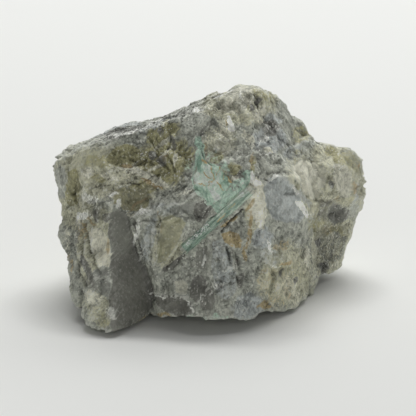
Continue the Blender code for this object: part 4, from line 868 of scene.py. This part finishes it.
def rock_skin():
    """The rock: the frame's form on the direction grid, with the finer relief and the mineral masks.

    Facing_eye is 1 on the front that the strokes paint and 0 on the sides and the back.  The near and
    wide marks say how far a point stands proud of its neighbours; from them the material paints shade
    in the hollows and highlight on the proud points.  Loose is 0 at the cleavage face, whose outline
    stays clean, and 1 where the outlines wander.
    """
    directions = direction_grid()
    rough = rough_skin(directions)
    to_eye, _ = eye_axes()
    outward = grid_normals(rough)
    turned_away, over = FACING
    facing_eye = blurred(np.clip((outward @ to_eye - turned_away) / over, 0.0, 1.0), 2)
    straight = depth_inside(front_view(rough), FACETS["cleavage_face"][3])
    loose = np.clip(-straight / 2.0, 0.0, 1.0)[:, None]
    wandering = rough + loose * (0.9 * noise_vector(rough, 3.2, 200) + 0.45 * noise_vector(rough, 1.1, 210))
    places = front_view(wandering)
    broken = mixed(wandering, places, facing_eye, BROKEN, HIDDEN_BROKEN, 9.0, 300)
    minerals = mixed(wandering, places, facing_eye, MINERALS, HIDDEN_COVER, 7.0, 400)
    true_places = front_view(rough + loose * (0.3 * noise_vector(rough, 2.0, 220)
                                              + 0.15 * noise_vector(rough, 0.7, 230)))
    rims = add_facets(true_places, facing_eye, minerals, broken)
    # the tone strokes, partly painted light and shade; on the sides and the back the mark comes out at
    # -0.5, a little deeper
    tone_and_shading = (painted(places, TONES_AND_SHADING["paler"]) - painted(places, TONES_AND_SHADING["deeper"]) + 0.5) * facing_eye - 0.5
    lines = carved(true_places, LINES)
    rims = np.maximum(rims, np.clip(1.8 * lines, 0.0, 0.9) * facing_eye)
    # the clefts deepen the tone: painted shade in them
    tone_and_shading = tone_and_shading + 1.3 * np.minimum(lines, 0.0) * facing_eye
    heights = fine_relief(rough, broken, lines, facing_eye)
    moved, calmed = bed(rough, front_view(rough), facing_eye)
    heights = heights * (1.0 - 0.7 * calmed) + moved
    surface = rough + heights[:, None] * directions
    surface[:, 2] = np.maximum(surface[:, 2], 0.0)
    # how far each point stands proud: painted shade in the hollows and painted highlight on the proud
    # points
    near_shading = proud_of_mean(surface, outward, NEAR) * (1.0 - 0.8 * broken["smooth"])
    wide = proud_of_mean(surface, outward, WIDE)
    values = dict(minerals, smooth=broken["smooth"], near_shading=near_shading, wide=wide, rim=rims, tone_and_shading=tone_and_shading)
    values = {label: grid.reshape(ROWS, COLUMNS) for label, grid in values.items()}
    return surface, values


def shift_to_frame(points):
    """What moves the rock's own box in x and y onto the middle of its box in the frame."""
    lowest, highest = (np.array(corner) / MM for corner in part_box("matrix_rock"))
    shift = (lowest + highest) / 2.0 - (points.min(axis=0) + points.max(axis=0)) / 2.0
    return np.array([shift[0], shift[1], 0.0])


# ---- the emerald prism ----

PRISM_ROUND = 108               # columns round it
PRISM_LONG = 150                # rows along its sides
CAP_ROWS = 7                    # rows across either end
PRISM_STEPS = [(0.0, 0.80), (0.06, 0.97), (0.30, 1.0), (0.50, 1.0), (0.53, 0.92), (0.74, 0.88),
               (0.93, 0.84), (1.0, 0.74)]     # growth steps: (share of the length, girth)
PRISM_TIP_SLANT = 0.55          # of the broken upper end
CORNER_WEAR = 0.08              # how much its six corners are rounded, of 1
STRIA_HEIGHT = 0.035            # of the growth lines along it
STEP_HEIGHT = 0.10              # of the steps where it has cracked across
BITE_DEPTH = 0.45               # of the broken-out places
END_HEIGHT = 0.35               # how rough the two broken ends are

# what shows on it in the front view: (across, up, half length, half width, turn, strength)
PRISM_STROKES = {
    "pale": [(6.4, 2.6, 4.6, 0.8, 42, 0.8), (9, 5.2, 2.4, 1.8, 42, 1.4), (-0.6, -3.8, 2.4, 0.4, 42, 0.7),
        (-5.4, -9.2, 1.6, 0.8, 42, 0.9), (2.8, -1, 1.4, 1, -50, 0.6)],
    "deep": [(-2.6, -4.4, 5.2, 0.6, 42, 1), (-3, -7, 2.6, 0.3, 42, 0.5), (6, 3.6, 3.4, 0.3, 42, 0.8),
        (1.2, -1.6, 1.4, 0.6, 42, 0.7)],
    "sparkle": [(-2, -5.6, 3.2, 1.3, 42, 1.35), (-5.2, -9.4, 1, 0.6, 42, 1), (8.8, 4.2, 1.4, 1.1, 42, 1.1),
        (-4.2, -7.6, 1.4, 0.5, 42, 1.2)],
    "ochre": [(5.4, 2.6, 3, 0.16, 42, 0.95), (3.2, -2.6, 2.4, 0.2, 42, 0.55),
        (6.6, 0.8, 2.4, 0.25, 42, 0.6)],
}


def emerald_prism():
    """A six-sided prism: a rounded hexagon carried along its axis, with growth lines and cross breaks.

    At share t and angle a the girth is the hexagon's, cos 30 / cos(a' - 30) with a' the angle past the
    last corner, times the growth step at t.  Striations run along it, thin steps run across it where
    it has cracked, and either end is a rough fracture whose rows shrink to the middle.
    """
    low, run, side, outward = prism_axes()
    length = np.linalg.norm(run)
    axis = run / length
    turn = 2.0 * np.pi * np.arange(PRISM_ROUND) / PRISM_ROUND
    inner = np.linspace(0.0, 1.0, CAP_ROWS + 1)[1:]
    share = np.concatenate([np.zeros(CAP_ROWS), np.linspace(0.0, 1.0, PRISM_LONG), np.ones(CAP_ROWS)])
    reach = np.concatenate([inner, np.ones(PRISM_LONG), inner[::-1]])
    share, angle = np.meshgrid(share, turn, indexing="ij")
    reach = np.broadcast_to(reach[:, None], share.shape)
    past = np.mod(angle - np.radians(PRISM_TURN), np.pi / 3.0) - np.pi / 6.0
    corner_round = (1.0 - CORNER_WEAR) + CORNER_WEAR * np.cos(6.0 * past) ** 2
    hexagon = np.cos(np.pi / 6.0) / np.cos(past) * corner_round
    girth = np.interp(share, *zip(*PRISM_STEPS)) * hexagon * PRISM_ACROSS / 2.0

    upright = np.stack([girth * np.cos(angle), girth * np.sin(angle), share * length], axis=2)
    flat = upright.reshape(-1, 3)
    striae = smooth_noise(flat * [1.0, 1.0, 0.07], 0.34, 500)
    striae += smooth_noise(flat * [1.0, 1.0, 0.1], 0.8, 505)
    tilted = flat * [0.3, 0.3, 1.0] + 0.35 * noise_vector(flat, 1.2, 510)
    steps = cells(tilted, 1.5, 520)[1] - 0.5
    chips = fracture_facets(shaken(flat, (0.2, 0.7, 530)), 0.8, 0.12, 535)
    bites = np.clip(smooth_noise(flat, 1.1, 540) - 0.35, 0.0, 1.0)
    ring = np.cos(angle)[..., None] * side + np.sin(angle)[..., None] * outward
    centre = low + share[..., None] * run
    first = centre + (reach * girth)[..., None] * ring
    places = front_view(first.reshape(-1, 3) + 0.25 * noise_vector(flat, 0.9, 550))
    masks = {label: painted(places, strokes) for label, strokes in PRISM_STROKES.items()}
    ends = np.maximum(1.0 - share / 0.10, (share - 0.95) / 0.05).ravel()
    masks["worn"] = np.clip(ends + 0.5 * smooth_noise(flat, 1.2, 555), 0.0, 0.8) * (ends > -0.8)
    roughness = 0.25 + 0.75 * masks["sparkle"]
    heights = STRIA_HEIGHT * striae + STEP_HEIGHT * steps + roughness * chips - BITE_DEPTH * bites
    heights = heights.reshape(share.shape)
    bump = END_HEIGHT * smooth_noise(flat * [1.0, 1.0, 0.0] + 0.5, 0.9, 560).reshape(share.shape)
    slant = PRISM_TIP_SLANT * (reach * girth) * np.sin(angle) * (share >= 1.0)
    end = np.where(share >= 1.0, 1.0, -1.0) * (reach < 1.0)
    surface = centre + (reach * (girth + heights))[..., None] * ring
    surface += (end * bump - slant)[..., None] * axis
    values = {label: mask.reshape(share.shape) for label, mask in masks.items()}
    values["along"] = share
    return surface, values


# ---- the pale emerald beside it ----

PATCH_RINGS = 46                # rings from its middle to its rim
PATCH_ROUND = 168               # columns round it
PATCH_PROUD = 0.2               # how far its broken face stands out of the rock
PATCH_SUNK = 0.12               # how far the whole of it is set back
PATCH_RIM_DROP = 0.5            # how far its rim dips into the rock
PATCH_DEPTH = 2.6               # how far it reaches into the rock at its middle
PATCH_THIN = 0.45               # and at its rim
PATCH_ALONG = 0.7               # it is as pale as the prism at this share of its length
PATCH_GRAIN = (-2.5, 0.6, 8.0)  # the way its fine lines run

PATCH_STROKES = {
    "pale": [(0.6, 7, 2.6, 2.8, -40, 0.5), (2.4, 2.6, 1.8, 0.7, -45, 1), (-3, 7.4, 1.2, 1.8, 0, 0.8),
        (9.4, 7.4, 1, 1.6, 10, 0.9), (-0.4, 10.6, 1.6, 0.6, 0, 0.5)],
    "deep": [(5.2, 4.4, 2.6, 0.7, 42, 1.1), (-2.4, 11.6, 0.7, 2.8, 8, 0.9),
        (-2.2, 4.8, 1.8, 0.7, -20, 0.8), (4.4, 7.4, 0.8, 1.8, 30, 0.8), (-0.6, 4, 1.4, 0.4, -40, 0.6),
        (1.6, 8.6, 0.3, 2, 10, 0.6)],
    "sparkle": [(1.8, 3.4, 2.2, 0.9, -45, 1.3), (-3.2, 7.6, 1.2, 0.8, -30, 1.2),
        (8.6, 5.6, 1.4, 0.9, 30, 1.3), (0.6, 6, 1.4, 1, 0, 0.8)],
    "ochre": [(1.2, 9, 0.22, 1.6, 8, 0.8), (0, 11.8, 1.8, 0.4, -10, 0.7), (3, 5.6, 1.5, 0.25, -55, 0.9),
        (5, 3.3, 2.6, 0.18, 42, 0.9), (-0.2, 8.2, 1.8, 0.2, -35, 0.6), (2.6, 9.6, 0.22, 1.6, -20, 0.6),
        (5.6, 7.2, 0.4, 1.4, 30, 0.7), (0.6, 6.6, 1.4, 0.18, 50, 0.7), (-1.6, 6.2, 1.6, 0.16, -30, 0.5),
        (4, 7.8, 1.2, 0.2, 60, 0.6)],
}


def pale_patch():
    """The broken emerald: a flaky plate on the rock's own form, closed behind by a shallow bowl.

    Ring s and angle a give a place between the rim's middle and its wavering rim.  In front the
    place stands PATCH_PROUD (1 - s^6) - PATCH_SUNK out of the rock's form, with flakes, and dips at
    the rim.  Behind, it lies PATCH_DEPTH sqrt(1 - s^2) + PATCH_THIN below that form.
    """
    rim = np.array(MASS_RIM, float)
    rim = np.concatenate([rim, rim[:1]])
    middle = rim[:-1].mean(axis=0)
    walk = np.arange(PATCH_ROUND) / PATCH_ROUND * (len(rim) - 1)
    corners = np.stack([np.interp(walk, np.arange(len(rim)), rim[:, k]) for k in range(3)], axis=1)
    corners = shaken(corners, (0.9, 3.0, 600), (0.5, 1.2, 605))
    ring = (np.arange(PATCH_RINGS) + 1.0) / PATCH_RINGS
    front = middle + ring[:, None, None] * (corners - middle)
    directions = unit((front - np.array(CORE)).reshape(-1, 3))
    rough = rough_skin(directions)
    share = np.repeat(ring, PATCH_ROUND)
    leaning = leaned(rough, 0.8, -0.6, 0.35) + 0.3 * noise_vector(rough, 0.9, 610)
    flakes = fracture_facets(leaning, 1.0, 0.20, 620)
    flakes += fracture_facets(shaken(rough, (0.4, 1.3, 630)), 2.2, 0.12, 640)
    places = front_view(shaken(rough, (0.35, 1.1, 650), (0.2, 0.5, 655)))
    masks = {label: painted(places, strokes) for label, strokes in PATCH_STROKES.items()}
    heights = PATCH_PROUD * (1.0 - share ** 6) - PATCH_SUNK + flakes * (1.0 - share ** 8)
    heights -= PATCH_RIM_DROP * np.clip((share - 0.86) / 0.14, 0.0, 1.0)
    masks["worn"] = np.clip((share - 0.78 + 0.4 * smooth_noise(rough, 1.6, 660)) / 0.3, 0.0, 1.0)
    face = (rough + heights[:, None] * directions).reshape(PATCH_RINGS, PATCH_ROUND, 3)
    bowl = rough - (PATCH_DEPTH * np.sqrt(1.0 - share ** 2) + PATCH_THIN)[:, None] * directions
    bowl = bowl.reshape(PATCH_RINGS, PATCH_ROUND, 3)
    surface = np.concatenate([bowl, face[::-1]])
    values = {}
    for label, mask in masks.items():
        grid = mask.reshape(PATCH_RINGS, PATCH_ROUND)
        values[label] = np.concatenate([grid, grid[::-1]])
    values["along"] = np.full(surface.shape[:2], PATCH_ALONG)
    return surface, values


# ---- materials ----

EASED = {"interpolation_type": "SMOOTHSTEP"}    # a Map Range that is 0 below input 1 and 1 above 2
TINTED = {"data_type": "RGBA"}                  # a Mix of the colours 6 and 7
MIDDLE_GREY = (0.5, 0.5, 0.5)

ROCK_COLOURS = {                # two tints of each mineral, mottled together
    "cool": ("#8c8f85", "#b3b5a9"),         # mica schist: fine grey flakes
    "warm": ("#9f9f88", "#c2c1ab"),         # the same, weathered and stained
    "blue_grey": ("#929896", "#b3b7b4"),    # quartz with a cool cast
    "olive": ("#83815f", "#a8a580"),        # altered mica, greenish brown
    "cream": ("#b7b6a2", "#d6d5c6"),        # feldspar and stained quartz
    "ochre": ("#8f8160", "#b3a580"),        # iron rust in the seams
    # the dark tints also carry painted shade: the undercut, column_shade and lobe_shade faces and a dark
    # stroke under the right block
    "dark": ("#62625b", "#84847c"),         # black mica and smoky quartz
    "green": ("#8fab9a", "#bccfbe"),        # emerald stain
    # the white tints also carry the painted highlights by the slab's right edge
    "white": ("#d5d6cd", "#eeefe8"),        # clean quartz
}
BROAD = (0.8, 0.6, 0.55, 1.05)      # how a mineral spreads: its mask's and the mottling's weight,
SHARP = (1.0, 0.8, 0.90, 1.32)      # and the sums at which it begins and is whole
# the pale of crushed and scratched grains, and also of the painted glints of mica in the specks
BRUISE_AND_GLINT = "#e2e3d9"                  # crushed and scratched grains
ROCK_MARKS = ("smooth", "near_shading", "wide", "tone_and_shading", "rim")      # kept on the rock's mesh, as the minerals are
CRYSTAL_MARKS = ("pale", "deep", "along", "ochre", "worn", "sparkle")
BERYL_IOR = 1.58
EMERALD = ("#677f70", "#9cb5a2", "#d3e0d0")         # where it is thick, as it grew, and shattered
PALE_EMERALD = ("#8eae9a", "#c4dfca", "#ecf4e8")
# SPARK: the white of the cracks, and painted glints on the chips
RUST, SPARK = "#c9b684", "#e9efe8"
ROCK_ON_CRYSTAL = ("#a2a394", "#d2d2c4")


def colour(text):
    """An sRGB hex colour such as "#8a7045" as linear red, green, blue and alpha."""
    srgb = np.array([int(text[k:k + 2], 16) for k in (1, 3, 5)]) / 255.0
    linear = np.where(srgb <= 0.04045, srgb / 12.92, ((srgb + 0.055) / 1.055) ** 2.4)
    return (*linear.tolist(), 1.0)


def wire(made, inputs):
    """Gives a node's inputs a number, a colour, a vector or another node's output.

    A list of (value, factor) terms is added up first, by multiply-add nodes of its own.
    """
    tree = made.id_data
    for name, value in inputs.items():
        if isinstance(value, list):
            total = 0.0
            for term, factor in value:
                total = node(tree, "Math", {0: term, 1: factor, 2: total}, operation="MULTIPLY_ADD")
            value = total
        if isinstance(value, bpy.types.NodeSocket):
            tree.links.new(value, made.inputs[name])
        else:
            made.inputs[name].default_value = value


def node(tree, kind, inputs, out=0, **settings):
    """Adds a node with its settings and links, and returns its output of the given number or name."""
    made = tree.nodes.new("ShaderNode" + kind)
    for name, value in settings.items():
        setattr(made, name, value)
    wire(made, inputs)
    return made.outputs[out]


def new_material(name):
    """An empty material, what adds a node to it, and its shader."""
    material = bpy.data.materials.new(name)
    material.use_nodes = True
    return material, partial(node, material.node_tree), material.node_tree.nodes["Principled BSDF"]


def own_place(add):
    """The place on the piece, in millimetres."""
    return add("VectorMath", {0: add("TexCoord", {}, "Object"), "Scale": 1.0 / MM}, operation="SCALE")


def shaken_place(add, place, size, amount):
    """The place moved about by a noise of the given size, up to amount each way."""
    noise = add("TexNoise", {"Vector": place, "Scale": 1.0 / size, "Detail": 1.0}, "Color")
    centred = add("VectorMath", {0: noise, 1: MIDDLE_GREY}, operation="SUBTRACT")
    return add("VectorMath", {0: centred, 1: (2.0 * amount,) * 3, 2: place}, operation="MULTIPLY_ADD")


def flaked_normal(add, raised, height, strength, flakes):
    """The normal of a skin raised by up to height, in millimetres, and tilted flake by flake.

    Flakes are pairs of a colour for each cell and how far the cells tilt.  A cell leans the way that
    its colour, less middle grey, points.
    """
    normal = add("Bump", {"Height": raised, "Distance": height * MM, "Strength": strength})
    for cells_colour, amount in flakes:
        tilt = add("VectorMath", {0: cells_colour, 1: MIDDLE_GREY}, operation="SUBTRACT")
        tilt = add("VectorMath", {0: tilt, "Scale": amount}, operation="SCALE")
        normal = add("VectorMath", {0: normal, 1: tilt}, operation="ADD")
    return add("VectorMath", {0: normal}, operation="NORMALIZE")


def rock_material():
    """Mica and quartz rock, freshly broken: small flakes of many greys that catch the light one by one.

    The eye sees a dull ground of flakes and splinters 0.5 to 2 mm long, crossed by fine strands that
    lean both ways, with pale scratches where an edge is bruised, white specks that are partly white
    grains and partly painted glints of mica, painted shade in the hollows and painted highlight on
    proud points, and rust along the seams.  Sizes are in millimetres.
    """
    material, add, shader = new_material("mica_quartz_rock")
    place = own_place(add)
    swirled = shaken_place(add, place, 6.0, 1.2)
    swirled = shaken_place(add, swirled, 1.6, 0.22)
    lean_one, lean_two, strand_one, strand_two = (
        add("Mapping", {"Vector": swirled, "Rotation": turn, "Scale": (1.0, 1.0, stretch)},
            vector_type="TEXTURE")
        for turn, stretch in (((0.3, 0.75, 0.2), 1.9), ((0.2, -0.6, 0.4), 1.7),
                              ((0.2, -0.5, 0.4), 5.0), ((0.3, 0.6, 0.2), 5.0)))
    splinters, flakes, slivers, specks = (
        add("TexVoronoi", {"Vector": vector, "Scale": 1.0 / size}, "Color")
        for vector, size in ((lean_one, 2.0), (lean_one, 0.75), (lean_two, 0.42), (place, 0.7)))
    splinter, flake, sliver, speck = (
        add("SeparateColor", {0: tints}) for tints in (splinters, flakes, slivers, specks))
    mottle, grain, strand_one, strand_two = (
        add("TexNoise", {"Vector": vector, "Scale": 1.0 / size, "Detail": detail, "Roughness": 0.62})
        for vector, size, detail in ((swirled, 3.2, 5.0), (lean_two, 0.45, 3.0),
                                     (strand_one, 0.6, 3.0), (strand_two, 0.6, 3.0)))
    strand = add("Mix", {0: add("MapRange", {0: mottle, 1: 0.44, 2: 0.56}, **EASED),
                         2: strand_one, 3: strand_two})
    mark = {label: add("Attribute", {}, "Fac", attribute_name=label)
            for label in (*ROCK_MARKS, *ROCK_COLOURS) if label != "cool"}
    lively = add("Math", {0: mark["smooth"], 1: -0.72, 2: 1.0}, operation="MULTIPLY_ADD")

    patchy = [(mottle, 0.6), (flake, 0.26), (sliver, 0.20), (strand, 0.6)]
    mixing = add("Mix", {0: [(mark["smooth"], 0.75)], 2: patchy, 3: 0.83})
    tint = add("Math", {0: grain, 1: 0.4, 2: [(splinter, 0.3), (flake, 0.3)]}, operation="MULTIPLY_ADD")
    for label, (low, high) in ROCK_COLOURS.items():
        tints = add("Mix", {0: tint, 6: colour(low), 7: colour(high)}, 2, **TINTED)
        if label == "cool":             # the ground that the others lie on
            shown = tints
            continue
        own, mottled, start, whole = BROAD if label == "warm" else SHARP
        share = add("MapRange", {0: [(mark[label], own), (mixing, mottled)], 1: start, 2: whole}, **EASED)
        shown = add("Mix", {0: share, 6: shown, 7: tints}, 2, **TINTED)

    flecks = [(splinter, 0.26), (flake, 0.20), (sliver, 0.62), (grain, 0.9), (strand, 2.0), (-1.0, 1.99)]
    flecks = add("Math", {0: flecks, 1: lively}, operation="MULTIPLY")
    # the near and wide marks darken hollows and lighten proud points, painted shade and painted highlight;
    # the tone marks add painted light and shade too
    lightness = add("Clamp", {0: [(flecks, 1.0), (mark["near_shading"], 0.9), (mark["wide"], 0.2),
                                  (mark["tone_and_shading"], 0.22), (1.0, 1.20)], 1: 0.35, 2: 1.7})
    shown = add("VectorMath", {0: shown, "Scale": lightness}, operation="SCALE")

    # pale threads and specks: the specks are white grains and painted glints of mica, and the near mark
    # adds painted highlight to both on proud points
    threads = add("MapRange", {0: [(strand, 1.0), (mark["near_shading"], 0.2)], 1: 0.58, 2: 0.70}, **EASED)
    specks = [(specks.node.outputs["Distance"], -1.0), (speck, 0.5), (mottle, 0.6), (mark["near_shading"], 0.5)]
    specks = add("MapRange", {0: specks, 1: 0.38, 2: 0.50}, **EASED)
    pale = add("Math", {0: [(threads, 0.95)], 1: specks}, operation="MAXIMUM")
    pale = add("Math", {0: pale, 1: lively}, operation="MULTIPLY")
    crushed = [(mark["rim"], 0.8), (flake, 0.45), (sliver, 0.45)]
    crushed = add("MapRange", {0: crushed, 1: 0.85, 2: 1.15}, **EASED)
    pale = add("Math", {0: pale, 1: crushed}, operation="MAXIMUM")
    shown = add("Mix", {0: [(pale, 0.75)], 6: shown, 7: colour(BRUISE_AND_GLINT)}, 2, **TINTED)

    raised = [(grain, 0.55), (flake, 0.3), (sliver, 0.25), (strand, 0.5)]
    raised = add("Math", {0: raised, 1: lively}, operation="MULTIPLY")
    leaning = ((slivers, [(lively, 0.6)]), (splinters, [(lively, 0.4)]))
    wire(shader, {"Base Color": shown, "Roughness": [(sliver, -0.28), (mark["smooth"], -0.12), (1.0, 0.74)],
                  "Normal": flaked_normal(add, raised, 0.34, 0.8, leaning), "Specular IOR Level": 0.45})
    return material


def emerald_material(name, tints, roughness, grain, rust):
    """Beryl, as it grew and as it broke: cloudy green with fine lines along it and white cracks.

    The eye sees a milky green that is darker where the crystal is thick, paler where it has
    shattered, with white sparks at the cracks, partly white fracture and partly painted glint, and
    rust that has crept into the seams.  The lines follow the grain, and where the surface is worn the
    rock's own grey and buff show through.
    Sizes are in millimetres.
    """
    material, add, shader = new_material(name)
    place = own_place(add)
    heading = Vector(grain).to_track_quat("Z", "Y").to_euler()
    drawn = add("Mapping", {"Vector": shaken_place(add, place, 2.0, 0.25), "Rotation": tuple(heading),
                            "Scale": (1.0, 1.0, 6.0)}, vector_type="TEXTURE")
    shaken = shaken_place(add, place, 1.0, 0.35)
    streaks, clouds = (
        add("TexNoise", {"Vector": vector, "Scale": 1.0 / size, "Detail": detail, "Roughness": rough})
        for vector, size, detail, rough in ((drawn, 0.5, 3.0, 0.6), (shaken, 1.1, 4.0, 0.65)))
    threads, chips = (add("TexVoronoi", {"Vector": vector, "Scale": 1.0 / size}, "Color")
                      for vector, size in ((drawn, 0.45), (shaken, 0.34)))
    thread, chip = (add("SeparateColor", {0: shades}) for shades in (threads, chips))
    mark = {label: add("Attribute", {}, "Fac", attribute_name=label) for label in CRYSTAL_MARKS}
    ground = [(streaks, 1.9), (clouds, 1.3), (thread, 0.5), (mark["pale"], 0.7), (mark["deep"], -0.75),
              (mark["along"], 0.6)]
    ground = add("Math", {0: ground, 1: 0.95}, operation="SUBTRACT")
    rusty = [(mark["ochre"], 0.9), (clouds, 0.6), (thread, 0.4), (1.0, rust)]
    worn = [(mark["worn"], 1.0), (clouds, 0.7), (thread, 0.4)]
    # white sparks: white fracture and painted glints on the chips
    sparks = [(chip, 1.0), (mark["sparkle"], 0.50), (clouds, 0.3)]
    low, high = ROCK_ON_CRYSTAL
    stone = add("Mix", {0: thread, 6: colour(low), 7: colour(high)}, 2, **TINTED)
    shown, middle, pale = (colour(tint) for tint in tints)
    for value, start, whole, over in (
            (ground, 0.55, 1.25, middle), (ground, 1.15, 1.95, pale), (rusty, 0.95, 1.30, colour(RUST)),
            (worn, 1.00, 1.40, stone), (sparks, 1.24, 1.36, colour(SPARK))):
        share = add("MapRange", {0: value, 1: start, 2: whole}, **EASED)
        shown = add("Mix", {0: share, 6: shown, 7: over}, 2, **TINTED)
    raised = [(streaks, 0.5), (clouds, 0.4), (chip, 0.3), (thread, 0.3)]
    leaning = ((chips, [(mark["sparkle"], 0.5), (1.0, 0.25)]),)
    wire(shader, {"Base Color": shown, "Roughness": [(clouds, 0.3), (chip, -0.12), (1.0, roughness)],
                  "Normal": flaked_normal(add, raised, 0.14, 0.7, leaning),
                  "IOR": BERYL_IOR, "Subsurface Weight": 0.12, "Subsurface Radius": (0.5, 0.9, 0.7),
                  "Subsurface Scale": 0.6 * MM})
    return material


def floor_material():
    """Matte white board: no gloss, no pattern to see."""
    material, _, shader = new_material("matte_board")
    wire(shader, {"Base Color": colour("#ecedea"), "Roughness": 0.95, "Specular IOR Level": 0.1})
    return material


# ---- the specimen ----

skin, skin_values = rock_skin()
shift = shift_to_frame(skin)


def add_piece(name, grid, values, material, replaced, slot):
    """Makes a closed piece in the frame's place, in its material, in place of the frame's node."""
    grid = grid + shift
    piece = closed_mesh(name, grid, grid[0].mean(axis=0), grid[-1].mean(axis=0), values)
    piece.data.materials.append(material)
    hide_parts(replaced)
    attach(piece, "root")
    return piece


add_piece("rock_skin", skin.reshape(ROWS, COLUMNS, 3), skin_values, rock_material(),
          "matrix_rock", "mica_quartz_rock")
add_piece("emerald_crystal", *emerald_prism(),
          emerald_material("emerald", EMERALD, 0.24, prism_axes()[1], 0.08),
          "emerald_prism", "emerald")
add_piece("emerald_patch", *pale_patch(),
          emerald_material("pale_emerald", PALE_EMERALD, 0.36, PATCH_GRAIN, 0.26),
          "emerald_mass", "pale_emerald")


# ---- stage: floor, light and camera ----

FLOOR_HALF = 1.6                # metres
LIGHTS = {                      # (place, width, height, power), in metres and watts
    "strip": ((0.15, 0.80, 1.84), 1.2, 0.25, 14.0),
    "overhead": ((0.10, 0.60, 2.00), 1.8, 0.7, 11.0),
    "behind": ((0.0, 1.30, 1.70), 1.2, 0.6, 6.5),
    "side": ((1.20, 1.20, 1.50), 0.9, 0.8, 6.0),
    "wall": ((0.0, 2.00, 0.90), 2.4, 1.2, 9.5),
    "fill": ((0.0, -2.00, 0.80), 2.4, 1.0, 7.5),
}
LIGHTS_AIM = (0.0, 0.0, 0.03)
TENT_GLOW = 0.10                # of the white all round
SENSOR_WIDTH = 36.0


def add_floor():
    """A square that lies level where the lump rests."""
    mesh = bpy.data.meshes.new("floor")
    corners = [(x * FLOOR_HALF, y * FLOOR_HALF, 0.0) for x, y in ((-1, -1), (1, -1), (1, 1), (-1, 1))]
    mesh.from_pydata(corners, [], [(0, 1, 2, 3)])
    floor = bpy.data.objects.new("floor", mesh)
    floor.data.materials.append(floor_material())
    bpy.context.scene.collection.objects.link(floor)


def add_light(name, place, width, height, power):
    """A soft light turned to the lump, in metres and watts, wide from side to side."""
    data = bpy.data.lights.new(name, "AREA")
    data.shape = "RECTANGLE"
    data.size = width
    data.size_y = height
    data.energy = power
    light = bpy.data.objects.new(name, data)
    light.location = place
    light.rotation_euler = (Vector(LIGHTS_AIM) - Vector(place)).to_track_quat("-Z", "Y").to_euler()
    bpy.context.scene.collection.objects.link(light)


def add_world(strength):
    """Even white light from all round."""
    world = bpy.data.worlds.new("white_tent")
    world.use_nodes = True
    background = world.node_tree.nodes["Background"]
    background.inputs["Color"].default_value = colour("#ffffff")
    background.inputs["Strength"].default_value = strength
    bpy.context.scene.world = world


def add_camera():
    """At the eye: EYE_DISTANCE from the lump's middle, as wide as PICTURE_WIDTH there."""
    to_eye, _ = eye_axes()
    middle = Vector((VIEW_MIDDLE + shift) * MM)
    data = bpy.data.cameras.new("eye")
    data.sensor_width = SENSOR_WIDTH
    data.lens = data.sensor_width * EYE_DISTANCE / PICTURE_WIDTH
    data.clip_start = 0.01
    camera = bpy.data.objects.new("eye", data)
    camera.location = middle + Vector(to_eye * EYE_DISTANCE * MM)
    camera.rotation_euler = (middle - camera.location).to_track_quat("-Z", "Y").to_euler()
    bpy.context.scene.collection.objects.link(camera)
    bpy.context.scene.camera = camera


add_floor()
for name, light in LIGHTS.items():
    add_light(name, *light)
add_world(TENT_GLOW)
add_camera()
bpy.context.scene.view_settings.view_transform = "Standard"
